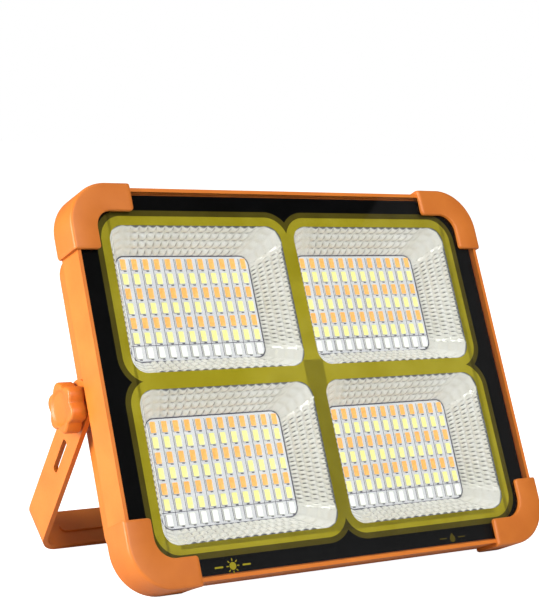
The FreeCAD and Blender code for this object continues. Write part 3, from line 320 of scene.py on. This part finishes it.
def clear_pane(name, tint, gloss):
    """A thin clear sheet: light passes straight through, and both its faces reflect.

    The reflected share follows Schlick's rule for glass, 4% square on, rising to all of it.
    """
    material, tree, shader = new_material(name)
    output = tree.nodes["Material Output"]
    see_through = tree.nodes.new("ShaderNodeBsdfTransparent")
    see_through.inputs["Color"].default_value = tint
    mirror = tree.nodes.new("ShaderNodeBsdfGlossy")
    tree.links.new(spread(tree, noise(tree, 25.0), *gloss), mirror.inputs["Roughness"])
    facing = tree.nodes.new("ShaderNodeLayerWeight")
    facing.inputs["Blend"].default_value = 0.5
    power = tree.nodes.new("ShaderNodeMath")
    power.operation = "POWER"
    power.inputs[1].default_value = FRESNEL_POWER
    share = tree.nodes.new("ShaderNodeMath")
    share.operation = "MULTIPLY_ADD"
    share.inputs[1].default_value = 1 - GLASS_REFLECTANCE
    share.inputs[2].default_value = GLASS_REFLECTANCE
    mix = tree.nodes.new("ShaderNodeMixShader")
    tree.links.new(facing.outputs["Facing"], power.inputs[0])
    tree.links.new(power.outputs["Value"], share.inputs[0])
    tree.links.new(share.outputs["Value"], mix.inputs["Fac"])
    tree.links.new(see_through.outputs["BSDF"], mix.inputs[1])
    tree.links.new(mirror.outputs["BSDF"], mix.inputs[2])
    tree.links.new(mix.outputs["Shader"], output.inputs["Surface"])
    tree.nodes.remove(shader)
    return material


# ------------------------------------------------------------------ materials
ORANGE = srgb(212, 119, 36)
ORANGE_DEEP = srgb(203, 110, 29)

housing_plastic = surface(
    "housing_plastic", ORANGE, ORANGE_DEEP, rough=(0.38, 0.5), Coat_Weight=0.05
)
bumper_rubber = surface(
    "bumper_rubber", srgb(199, 110, 31), srgb(191, 102, 25), rough=(0.4, 0.55), relief=0.00004
)
bracket_paint = surface(
    "bracket_paint", srgb(214, 119, 40), srgb(205, 110, 32), rough=(0.34, 0.46), grain=900.0
)
knob_plastic = surface("knob_plastic", srgb(208, 116, 36), srgb(198, 104, 27), rough=(0.36, 0.5))
zinc_steel = surface(
    "zinc_steel", srgb(205, 205, 208), srgb(168, 168, 172), rough=(0.2, 0.36), metallic=1.0
)
brass = surface("brass", srgb(212, 176, 100), srgb(180, 140, 70), rough=(0.25, 0.4), metallic=1.0)
black_rubber = surface("black_rubber", srgb(34, 34, 35), srgb(22, 22, 23), rough=(0.6, 0.8))
INK = {"relief": 0.000004, "Specular_IOR_Level": 0.1}
black_ink = surface("black_ink", srgb(5, 5, 6), srgb(2, 2, 2), rough=(0.3, 0.4), **INK)
olive_ink = surface("olive_ink", srgb(87, 78, 22), srgb(76, 67, 15), rough=(0.35, 0.45), **INK)
gold_ink = surface("gold_ink", srgb(170, 157, 42), srgb(159, 146, 28), rough=(0.3, 0.42), **INK)
silver_coat = surface(
    "silver_coat", srgb(255, 253, 248), srgb(247, 244, 236), rough=(0.16, 0.28), metallic=0.18,
    relief=0.00001, Coat_Weight=0.8, Coat_Roughness=0.12,
)
# Painted shade: the creases between the cup's pads are darkened in the coat's colour.
paint_crease_shade(silver_coat, 0.0011, srgb(110, 110, 112))
board_mask = surface("board_mask", srgb(244, 243, 246), srgb(236, 235, 240), rough=(0.4, 0.5))
# Dark marks on the LED boards: gaps between lands, and painted shadows of the packages and at the
# cup feet.
trace_and_shade_mark = surface("trace_and_shade_mark", srgb(98, 96, 112), srgb(78, 76, 92), rough=(0.4, 0.5))
led_ceramic = surface("led_ceramic", srgb(244, 242, 236), srgb(232, 230, 224), rough=(0.35, 0.45))
aluminium = surface(
    "aluminium", srgb(206, 207, 210), srgb(184, 185, 188), rough=(0.28, 0.42), metallic=1.0,
    stretch=(1, 12, 1),
)
lead_red = surface("lead_red", srgb(176, 30, 24), srgb(150, 20, 18), rough=(0.4, 0.5))
pouch_foil = surface(
    "pouch_foil", srgb(196, 198, 202), srgb(170, 172, 176), rough=(0.3, 0.45), metallic=0.9
)
cream_plastic = surface("cream_plastic", srgb(236, 228, 204), srgb(222, 212, 186))
laminate = surface("laminate", srgb(26, 104, 62), srgb(16, 82, 48), rough=(0.25, 0.35))
black_plastic = surface("black_plastic", srgb(32, 32, 34), srgb(22, 22, 24), rough=(0.4, 0.55))
light_pipe = surface("light_pipe", srgb(226, 234, 240), srgb(206, 216, 226), rough=(0.1, 0.2))
tinned_steel = surface(
    "tinned_steel", srgb(206, 206, 204), srgb(180, 180, 178), rough=(0.22, 0.34), metallic=1.0
)
button_rubber = surface("button_rubber", srgb(44, 44, 46), srgb(32, 32, 34), rough=(0.5, 0.65))
front_pane = clear_pane("front_pane", (0.97, 0.98, 0.975, 1.0), (0.02, 0.04))
solar_pane = clear_pane("solar_pane", (0.93, 0.95, 0.98, 1.0), (0.05, 0.1))


def phosphor(name, middle, edge, painted_glow):
    """Silicone over an LED chip, made a little brighter than its surroundings by a painted glow."""
    material, tree, shader = new_material(name)
    mottle = noise(tree, 700.0, 3.0)
    colour = ramp(tree, mottle, [(0.3, edge), (0.7, middle)])
    tree.links.new(colour, shader.inputs["Base Color"])
    tree.links.new(colour, shader.inputs["Emission Color"])
    tree.links.new(spread(tree, mottle, 0.25, 0.4), shader.inputs["Roughness"])
    # Painted light: a weak emission brightens the phosphor.
    shader.inputs["Emission Strength"].default_value = painted_glow
    return material


amber_phosphor = phosphor("amber_phosphor", srgb(255, 172, 84), srgb(255, 190, 112), 0.4)
yellow_phosphor = phosphor("yellow_phosphor", srgb(240, 234, 140), srgb(244, 240, 166), 0.4)
clear_phosphor = phosphor("clear_phosphor", srgb(246, 246, 242), srgb(252, 252, 250), 0.3)


def silicon_material():
    """Polycrystalline cells: flat-toned crystal grains of deep blue."""
    material, tree, shader = new_material("silicon")
    coordinates = tree.nodes.new("ShaderNodeTexCoord")
    crystals = tree.nodes.new("ShaderNodeTexVoronoi")
    crystals.inputs["Scale"].default_value = 240.0
    tree.links.new(coordinates.outputs["Object"], crystals.inputs["Vector"])
    tone = tree.nodes.new("ShaderNodeSeparateColor")
    tree.links.new(crystals.outputs["Color"], tone.inputs["Color"])
    stops = [(0.0, srgb(12, 18, 44)), (0.5, srgb(20, 30, 70)), (1.0, srgb(34, 48, 96))]
    tree.links.new(ramp(tree, tone.outputs["Red"], stops), shader.inputs["Base Color"])
    tree.links.new(spread(tree, noise(tree, 900.0), 0.22, 0.35), shader.inputs["Roughness"])
    return material


silicon = silicon_material()

NODE_MATERIALS = {
    housing_plastic: ["front_frame", "rear_housing"],
    bumper_rubber: ["port_cover"],
    bracket_paint: ["bracket"],
    zinc_steel: [
        "housing_screws", "spreader_screws", "board_screws", "control_screws", "port_cover_pin",
        "clamp_washer_left", "clamp_washer_right", "stud_left", "stud_right",
    ],
    brass: ["insert_left", "insert_right"],
    black_rubber: ["glass_gasket", "battery_pads", "friction_washer_left", "friction_washer_right"],
    black_ink: ["black_print"],
    olive_ink: ["olive_print"],
    gold_ink: ["gold_print"],
    front_pane: ["front_glass"],
    solar_pane: ["solar_cover"],
    aluminium: ["heat_spreader"],
    lead_red: ["board_jumpers", "battery_leads", "solar_leads", "led_leads"],
    pouch_foil: ["battery_left", "battery_right"],
    cream_plastic: ["battery_plugs"],
    laminate: ["control_board"],
    black_plastic: ["control_chips", "charge_inductor", "button_switch", "solar_board"],
    light_pipe: ["indicator_lights"],
    clear_phosphor: ["indicator_leds"],
    tinned_steel: ["usb_a_socket", "usb_c_socket"],
    button_rubber: ["power_button"],
    silicon: ["solar_cells"],
    board_mask: [f"led_board_{corner}" for corner in CORNERS],
    silver_coat: [f"reflector_{corner}" for corner in CORNERS],
}


def dress_nodes():
    """Give every CAD node that stays visible its own material."""
    for material, names in NODE_MATERIALS.items():
        for name in names:
            data = NODES[name].data
            data.materials.clear()
            data.materials.append(material)
            data.shade_smooth()
            data.set_sharp_from_angle(angle=math.radians(30))


# ------------------------------------------------------------------ reflector cups
def cup_pads(u, v, count, rows, staggered):
    """Height, 0 to 1, of the moulded pads that break up a cup's wall."""
    row = v * rows
    shift = 0.5 if staggered and int(row) % 2 else 0.0
    across = abs(math.sin(math.pi * (u * count + shift)))
    along = abs(math.sin(math.pi * row))
    edge = min(1.0, PAD_END_FADE * min(u, 1 - u))
    return (across * along) ** PAD_ROUNDNESS * edge


def cup_wall(start, end, count, rows, staggered, pad_height):
    """Rows of points down one wall; start and end are each (mouth point, base point).

    The pads stand inwards: count of them along the wall in each of the given rows.
    """
    mouth_a, base_a = (Vector(p) for p in start)
    mouth_b, base_b = (Vector(p) for p in end)
    inward = (mouth_b - mouth_a).cross(base_a - mouth_a).normalized()
    centre = (mouth_a + mouth_b + base_a + base_b) / 4
    inside_cup = Vector((0, 0, -6))
    if inward.dot(inside_cup - centre) < 0:
        inward = -inward
    rows_of_points = []
    for i in range(rows * PAD_SAMPLES + 1):
        v = i / (rows * PAD_SAMPLES)
        line = []
        for k in range(count * PAD_SAMPLES + 1):
            u = k / (count * PAD_SAMPLES)
            point = mouth_a.lerp(mouth_b, u).lerp(base_a.lerp(base_b, u), v)
            height = cup_pads(u, v, count, rows, staggered) * pad_height
            line.append(point + inward * height)
        rows_of_points.append(line)
    return rows_of_points


def reflector(corner):
    """A silvered cup whose four walls carry rows of pillow-shaped pads."""
    cx, cy = window_centre(corner)
    mesh = bmesh.new()
    mouth_z = -GLASS_THICKNESS - CUP_GLASS_GAP
    base_z = -CUP_DEPTH
    mouth_w = WINDOW_WIDTH / 2 + CUP_MOUTH_MARGIN
    mouth_h = WINDOW_HEIGHT / 2 + CUP_MOUTH_MARGIN
    mouth_r = WINDOW_CORNER + CUP_MOUTH_MARGIN
    base_w, base_h, base_r = CUP_BASE[0] / 2, CUP_BASE[1] / 2, CUP_BASE[2]

    def rim(w, h, r, z):
        """Ends of the four straight sides, counter-clockwise from the lower side."""
        return [
            ((-w + r, -h, z), (w - r, -h, z)),
            ((w, -h + r, z), (w, h - r, z)),
            ((w - r, h, z), (-w + r, h, z)),
            ((-w, h - r, z), (-w, -h + r, z)),
        ]

    mouths = rim(mouth_w, mouth_h, mouth_r, mouth_z)
    bases = rim(base_w, base_h, base_r, base_z)
    for side in range(4):
        start = (mouths[side][0], bases[side][0])
        end = (mouths[side][1], bases[side][1])
        pads = SHORT_WALL_PADS if side % 2 else LONG_WALL_PADS
        skin(mesh, cup_wall(start, end, **pads), closed_across=False)
    # The rounded corners between the walls carry two columns of narrower pads.
    for k, (sx, sy) in enumerate(((1, -1), (1, 1), (-1, 1), (-1, -1))):
        first = math.radians(-90 + 90 * k)
        lines = []
        for i in range(CORNER_LEVELS + 1):
            v = i / CORNER_LEVELS
            line = []
            for step in range(CORNER_STEPS + 1):
                u = step / CORNER_STEPS
                turn = first + math.pi / 2 * u
                swell = abs(math.sin(2 * math.pi * u) * math.sin(4 * math.pi * v))
                dent = CORNER_PAD_HEIGHT * swell ** PAD_ROUNDNESS
                w = mouth_w + (base_w - mouth_w) * v
                h = mouth_h + (base_h - mouth_h) * v
                r = mouth_r + (base_r - mouth_r) * v
                x = sx * (w - r) + (r - dent) * math.cos(turn)
                y = sy * (h - r) + (r - dent) * math.sin(turn)
                line.append((x, y, mouth_z + (base_z - mouth_z) * v))
            lines.append(line)
        skin(mesh, lines, closed_across=False)

    # Rim flange, smooth outside and foot, which close the moulding.
    def ring(width, height, radius, z):
        return [(x, y, z) for x, y in rounded_outline(2 * width, 2 * height, radius, 16)]

    flange_size = (mouth_w + CUP_FLANGE, mouth_h + CUP_FLANGE, mouth_r + 2)
    flange_back = mouth_z - CUP_FLANGE_THICKNESS
    foot_z = base_z + 0.02
    skin(mesh, [
        ring(mouth_w, mouth_h, mouth_r, mouth_z),
        ring(*flange_size, mouth_z),
        ring(*flange_size, flange_back),
        ring(mouth_w + CUP_WALL, mouth_h + CUP_WALL, mouth_r + 1, flange_back),
        ring(base_w + CUP_WALL, base_h + CUP_WALL, base_r + 1, foot_z),
        ring(base_w, base_h, base_r, foot_z),
    ])
    matrix = BENCH @ Matrix.Translation((cx, cy, 0))
    name = f"reflector_cup_{corner}"
    piece = stand(name, mesh, "housing", [silver_coat], matrix, 60)
    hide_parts(f"reflector_{corner}")


# ------------------------------------------------------------------ LEDs and their boards
def led_places(rows):
    for corner in CORNERS:
        cx, cy = window_centre(corner)
        for row in rows:
            y = cy + ((LED_ROWS - 1) / 2 - row) * LED_PITCH[1]
            for column in range(LED_COLUMNS):
                yield cx + (column - (LED_COLUMNS - 1) / 2) * LED_PITCH[0], y


def led_group(colour, rows, painted_glow):
    """LED packages: a ceramic shell with rounded rims, filled with a slightly sunk cast."""
    width, length, height = LED_SIZE
    foot = -CUP_DEPTH
    top = foot + height
    mesh = bmesh.new()
    body = rounded_outline(width, length, 0.35, 3)
    lip = rounded_outline(width - 0.2, length - 0.2, 0.3, 3)
    fill = rounded_outline(width - 0.35, length - 0.35, 0.45, 3)
    for x, y in led_places(rows):
        levels = [
            (body, foot), (body, top - LED_RIM_HEIGHT), (lip, top), (fill, top - LED_FILL_SINK)
        ]
        grid = skin(mesh, [[(x + px, y + py, z) for px, py in ring] for ring, z in levels])
        cap(mesh, grid[0])
        cap(mesh, grid[-1], 1)
    name = f"{colour}_packages"
    piece = stand(name, mesh, "housing", [led_ceramic, painted_glow])
    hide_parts(f"{colour}_leds")


def board_marks_and_shade():
    """Dark marks on the boards, partly real and partly painted shade.

    Gaps between the copper lands stand left of each column and above the last row; the column
    lines also paint the shadow each package casts to its left. A dash below the end of each
    package is partly its land and partly its painted shadow, and a ring is painted shade at the
    foot of the cup.
    """
    mesh = bmesh.new()
    z = -CUP_DEPTH
    columns_width = LED_COLUMNS * LED_PITCH[0]
    column_gap_and_shadow = rounded_outline(TRACE_WIDTH, LED_ROWS * LED_PITCH[1] - 1.5, TRACE_CORNER, 1)
    row_gap = rounded_outline(columns_width, TRACE_WIDTH, TRACE_CORNER, 1)
    width, height, radius = CUP_BASE
    outer = rounded_outline(width, height, radius)
    inner = rounded_outline(
        width - 2 * CUP_SHADOW_WIDTH, height - 2 * CUP_SHADOW_WIDTH, radius - CUP_SHADOW_WIDTH
    )
    for corner in CORNERS:
        cx, cy = window_centre(corner)
        for column in range(LED_COLUMNS):
            middle = cx + (column - (LED_COLUMNS - 1) / 2) * LED_PITCH[0]
            x = middle - LED_SIZE[0] / 2 - TRACE_TO_LED
            # Painted shadow: each column line is partly a land gap and partly the packages' shadow.
            slab(mesh, column_gap_and_shadow, (x, cy), z, z + TRACE_LIFT)
        last = cy - (LED_ROWS / 2 - 1) * LED_PITCH[1]
        slab(mesh, row_gap, (cx, last), z, z + TRACE_LIFT * 1.3)
        # Painted shade: a dark ring on the board round the foot of the cup.
        rings = [[(cx + px, cy + py, z + TRACE_LIFT) for px, py in ring] for ring in (outer, inner)]
        skin(mesh, rings)
    dash = rounded_outline(*LAND_DASH_AND_SHADOW, 1)
    # Painted shadow: each dash is partly the package's land and partly its shadow.
    for x, y in led_places(range(LED_ROWS)):
        slab(mesh, dash, (x + 1.0, y - LED_SIZE[1] / 2 - 0.35), z, z + TRACE_LIFT * 1.6)
    stand("board_marks_and_shade", mesh, "housing", [trace_and_shade_mark])


def light_engine():
    for corner in CORNERS:
        reflector(corner)
    led_group("amber", (0, 2, 4), amber_phosphor)
    led_group("yellow", (1, 3, 5), yellow_phosphor)
    led_group("clear", (6,), clear_phosphor)
    board_marks_and_shade()


# ------------------------------------------------------------------ pictograms
def pictograms():
    """Two plain marks printed under the windows: a lamp with rays, and a water drop."""
    low = -GLASS_THICKNESS - 0.02
    high = -GLASS_THICKNESS + 0.03
    lamp = bmesh.new()
    lamp_x, lamp_y = LAMP_MARK
    slab(lamp, rounded_outline(3.6, 3.6, 1.79, 6), (lamp_x, lamp_y), low, high)
    for k in range(8):
        turn = math.radians(45 * k)
        ray = bmesh.new()
        slab(ray, rounded_outline(1.3, 0.5, 0.2, 2), (2.9, 0), low, high)
        ray.transform(Matrix.Translation((lamp_x, lamp_y, 0)) @ Matrix.Rotation(turn, 4, "Z"))
        part = bpy.data.meshes.new("ray")
        ray.to_mesh(part)
        ray.free()
        lamp.from_mesh(part)
        bpy.data.meshes.remove(part)
    for side in (-1, 1):
        bar = rounded_outline(4.6, 0.8, 0.35, 3)
        slab(lamp, bar, (lamp_x + side * 7.6, lamp_y), low, high)
    stand("lamp_mark", lamp, "housing", [gold_ink])

    drop = bmesh.new()
    drop_x, drop_y = DROP_MARK
    drop_radius = 1.75
    drop_steps = 32
    outline = []
    for step in range(drop_steps):
        turn = 2 * math.pi * step / drop_steps
        pull = max(0.0, math.sin(turn)) ** 6
        x = drop_radius * math.cos(turn) * (1 - 0.5 * pull)
        outline.append((x, drop_radius * math.sin(turn) + 1.2 * pull))
    slab(drop, outline, (drop_x, drop_y - 0.5), low, high)
    for side in (-1, 1):
        bar = rounded_outline(4.6, 0.6, 0.28, 3)
        slab(drop, bar, (drop_x + side * 6.0, drop_y), low, high)
    stand("drop_mark", drop, "housing", [olive_ink])


# ------------------------------------------------------------------ corner bumpers
def bumper_section():
    """The L-shaped section: (distance in from the outer face, height), closed."""
    big, small = BUMPER_OUTER_ROUNDING, BUMPER_INNER_ROUNDING
    leg, proud = BUMPER_LEG, BUMPER_PROUD
    points = [(0.0, -BUMPER_DEPTH), (0.0, proud - big)]
    for turn in (22, 45, 68, 90):
        angle = math.radians(turn)
        points.append((big * (1 - math.cos(angle)), proud - big + big * math.sin(angle)))
    for turn in (0, 30, 60, 90):
        angle = math.radians(turn)
        height = proud - small + small * math.cos(angle)
        points.append((leg - small + small * math.sin(angle), height))
    points += [(leg, 0.0), (BUMPER_WALL, 0.0), (BUMPER_WALL, -BUMPER_DEPTH)]
    return points


def bumper(corner):
    """A rubber corner swept round the lamp's corner, with softened leg ends."""
    across, up = CORNERS[corner]
    row = corner.split("_")[0]
    half_w = GLASS_WIDTH / 2 + RIM + BUMPER_WALL
    half_h = GLASS_HEIGHT / 2 + RIM + BUMPER_WALL
    inner_radius = BUMPER_INNER_RADIUS[row]

    def along(t, bend, inset):
        """Point on the corner's line at t: legs are 0..1 and 2..3, the bend is 1..2."""
        arc_x = half_w - inset - bend
        arc_y = half_h - inset - bend
        start_x = half_w - BUMPER_REACH[0]
        start_y = half_h - BUMPER_REACH[1]
        if t <= 1:
            return start_x + (arc_x - start_x) * t, half_h - inset
        if t >= 2:
            return half_w - inset, arc_y + (start_y - arc_y) * (t - 2)
        turn = math.pi / 2 * (2 - t)
        return arc_x + bend * math.cos(turn), arc_y + bend * math.sin(turn)

    section = bumper_section()
    leg = BUMPER_LEG
    soft = BUMPER_END_ROUNDING
    # Rows stand close together at the leg ends, and every 1/16 round the bend.
    start_rows = [0.0, 0.02, 0.06, 0.12, 0.2]
    end_rows = [3 - t for t in reversed(start_rows)]
    stops = start_rows + [0.6] + [1 + k / 16 for k in range(17)] + [2.4] + end_rows
    rows = []
    for t in stops:
        outer = Vector(along(t, BUMPER_RADIUS, 0.0))
        inner = Vector(along(t, inner_radius, leg))
        from_end = min(t, 3 - t) * BUMPER_STRAIGHT
        trim = soft - math.sqrt(max(0.0, soft ** 2 - max(0.0, soft - from_end) ** 2))
        line = []
        for inset, height in section:
            share = inset / leg
            if inset > leg - 1:
                share -= trim / leg
            if height > 0:
                height = max(height - trim * 0.3, 0.0)
            if inset < 1 and height < 0:
                share += min(trim, 0.6) / leg
            point = outer.lerp(inner, share)
            line.append((across * point.x, up * point.y, height))
        rows.append(line)
    mesh = bmesh.new()
    grid = skin(mesh, rows)
    cap(mesh, grid[0])
    cap(mesh, grid[-1])
    piece = stand(
        f"corner_{corner}", mesh, "housing", [bumper_rubber], smooth_angle=50
    )
    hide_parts(f"bumper_{corner}")


# ------------------------------------------------------------------ knobs
def knob(side):
    """Six-lobed knob with rounded rims and a shallow dish in its face."""
    low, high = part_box(f"knob_{side}")
    direction = -1 if side == "left" else 1
    foot_x = high.x if side == "left" else low.x
    centre = Vector((foot_x, (low.y + high.y) / 2, (low.z + high.z) / 2))
    turns = [2 * math.pi * k / KNOB_STEPS for k in range(KNOB_STEPS)]

    def outline(shrink):
        points = []
        for turn in turns:
            wave = (0.5 + 0.5 * math.cos(KNOB_LOBES * turn)) ** KNOB_LOBE_SHARPNESS
            radius = KNOB_RADIUS - KNOB_LOBE_DEPTH * (1 - wave) - shrink
            points.append((radius * math.cos(turn), radius * math.sin(turn)))
        return points

    def circle(radius):
        return [(radius * math.cos(turn), radius * math.sin(turn)) for turn in turns]

    top = KNOB_LENGTH
    rim = KNOB_RIM_ROUNDING
    levels = [(circle(3.1), 0.0), (outline(0.8), 0.0), (outline(0.25), 0.25), (outline(0.0), 0.8)]
    for turn in (0, 25, 50, 70, 90):
        angle = math.radians(turn)
        levels.append((outline(rim * (1 - math.cos(angle))), top - rim + rim * math.sin(angle)))
    levels += [
        (circle(KNOB_DISH + 0.6), top),
        (circle(KNOB_DISH + 0.2), top - 0.12),
        (circle(KNOB_DISH - 0.3), top - 0.6),
        (circle(KNOB_DISH - 1.0), top - 0.9),
        (circle(3.0), top - 1.0),
    ]
    mesh = bmesh.new()
    grid = skin(mesh, [[(z, x, y) for x, y in ring] for ring, z in levels])
    cap(mesh, grid[-1])
    cap(mesh, grid[0])
    turn_out = Matrix.Scale(direction, 4, (1, 0, 0))
    leaned = Matrix.Rotation(LEAN, 4, "X") @ Matrix.Scale(MM, 4)
    matrix = Matrix.Translation(centre) @ turn_out @ leaned
    name = f"hand_knob_{side}"
    piece = stand(name, mesh, f"knob_{side}", [knob_plastic], matrix, 40)
    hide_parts(f"knob_{side}")


# ------------------------------------------------------------------ back of the lamp
def back_details():
    """Thin silver conductors over the solar cells."""
    bars = bmesh.new()
    cells_low, cells_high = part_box("solar_cells")
    width = (cells_high.x - cells_low.x) / MM
    busbar = rounded_outline(0.9, CELL_FIELD_HEIGHT, 0.2, 1)
    finger = rounded_outline(width, 0.14, 0.05, 1)
    for column in range(CELL_COLUMNS):
        x = (column + 0.5) * width / CELL_COLUMNS - width / 2
        for offset in (-BUSBAR_OFFSET, BUSBAR_OFFSET):
            slab(bars, busbar, (x + offset, CELL_FIELD_CENTRE), CELL_FACE - 0.06, CELL_FACE)
    for row in range(CELL_FINGERS):
        y = CELL_FIELD_CENTRE - CELL_FIELD_HEIGHT / 2 + 1.5 + row * CELL_FINGER_PITCH
        slab(bars, finger, (0, y), CELL_FACE - 0.03, CELL_FACE)
    stand("cell_conductors", bars, "housing", [tinned_steel])


# ------------------------------------------------------------------ studio
WHITE = (1.0, 1.0, 1.0, 1.0)
FELT = (0.97, 0.98, 1.0, 1.0)
FELT_STRENGTH = 0.22
FLOOR_REACH = 4
# Each light's name, place in metres, side of its square in metres, and watts
LIGHTS = (
    ("key", (-1.7, 0.15, 0.45), 0.9, 50.0),
    ("front", (-0.2, -1.5, 1.2), 0.8, 27.0),
    ("top", (0.1, 0.2, 1.8), 1.0, 5.0),
)
CAMERA_OFFSET = (-0.49544, -0.65487, 0.13862)
CAMERA_TURN = (82.682, -3.85, -34.782)
CAMERA_LENS = 101.64
CAMERA_SENSOR = 36.0


def studio():
    """White floor and surround as the camera sees them, with soft lights round the lamp."""
    floor_mesh = bpy.data.meshes.new("floor")
    reach = FLOOR_REACH
    floor_corners = [(-reach, -reach, 0), (reach, -reach, 0), (reach, reach, 0), (-reach, reach, 0)]
    floor_mesh.from_pydata(floor_corners, [], [(0, 1, 2, 3)])
    floor = bpy.data.objects.new("floor", floor_mesh)
    bpy.context.scene.collection.objects.link(floor)
    paper = surface(
        "floor_paper", srgb(206, 206, 208), srgb(198, 198, 200), rough=(0.85, 0.95), patch=2.0
    )
    nodes = paper.node_tree.nodes
    links = paper.node_tree.links
    shader = nodes["Principled BSDF"]
    shader.inputs["Emission Color"].default_value = WHITE
    seen_directly = nodes.new("ShaderNodeLightPath").outputs["Is Camera Ray"]
    links.new(seen_directly, shader.inputs["Emission Strength"])
    floor_mesh.materials.append(paper)

    world = bpy.data.worlds.new("studio")
    bpy.context.scene.world = world
    world.use_nodes = True
    tree = world.node_tree
    seen = tree.nodes["Background"]
    seen.inputs["Color"].default_value = WHITE
    seen.inputs["Strength"].default_value = 1.0
    felt = tree.nodes.new("ShaderNodeBackground")
    felt.inputs["Color"].default_value = FELT
    felt.inputs["Strength"].default_value = FELT_STRENGTH
    path = tree.nodes.new("ShaderNodeLightPath")
    mix = tree.nodes.new("ShaderNodeMixShader")
    tree.links.new(path.outputs["Is Camera Ray"], mix.inputs["Fac"])
    tree.links.new(felt.outputs["Background"], mix.inputs[1])
    tree.links.new(seen.outputs["Background"], mix.inputs[2])
    tree.links.new(mix.outputs["Shader"], tree.nodes["World Output"].inputs["Surface"])

    for name, place, size, power in LIGHTS:
        lamp = bpy.data.lights.new(name, "AREA")
        lamp.shape = "SQUARE"
        lamp.size = size
        lamp.energy = power
        holder = bpy.data.objects.new(name, lamp)
        holder.location = place
        aim = GLASS_FRONT - Vector(place)
        holder.rotation_euler = aim.to_track_quat("-Z", "Y").to_euler()
        bpy.context.scene.collection.objects.link(holder)

    # A dark card out in front, seen only as a reflection: it leaves the glass's upper left
    # black and ends in a slanted line across it.
    card_mesh = bpy.data.meshes.new("dark_card")
    card_corners = [(-250, -450, 500), (650, 450, 500), (650, 900, 500), (-250, 900, 500)]
    card_mesh.from_pydata([BENCH @ Vector(point) for point in card_corners], [], [(0, 1, 2, 3)])
    card = bpy.data.objects.new("dark_card", card_mesh)
    bpy.context.scene.collection.objects.link(card)
    cloth = surface("card_cloth", srgb(6, 6, 6), srgb(2, 2, 2), rough=(0.9, 1.0))
    card_mesh.materials.append(cloth)
    card.visible_camera = False
    card.visible_diffuse = False
    card.visible_shadow = False


def camera():
    """Long lens in front of the lamp's left side, a little above its middle."""
    lens = bpy.data.cameras.new("camera")
    lens.sensor_width = CAMERA_SENSOR
    lens.lens = CAMERA_LENS
    holder = bpy.data.objects.new("camera", lens)
    holder.location = GLASS_FRONT + Vector(CAMERA_OFFSET)
    holder.rotation_euler = [math.radians(turn) for turn in CAMERA_TURN]
    bpy.context.scene.collection.objects.link(holder)
    bpy.context.scene.camera = holder


dress_nodes()
light_engine()
pictograms()
for bumper_corner in CORNERS:
    bumper(bumper_corner)
for knob_side in ("left", "right"):
    knob(knob_side)
back_details()
studio()
camera()
bpy.context.scene.view_settings.view_transform = "Standard"
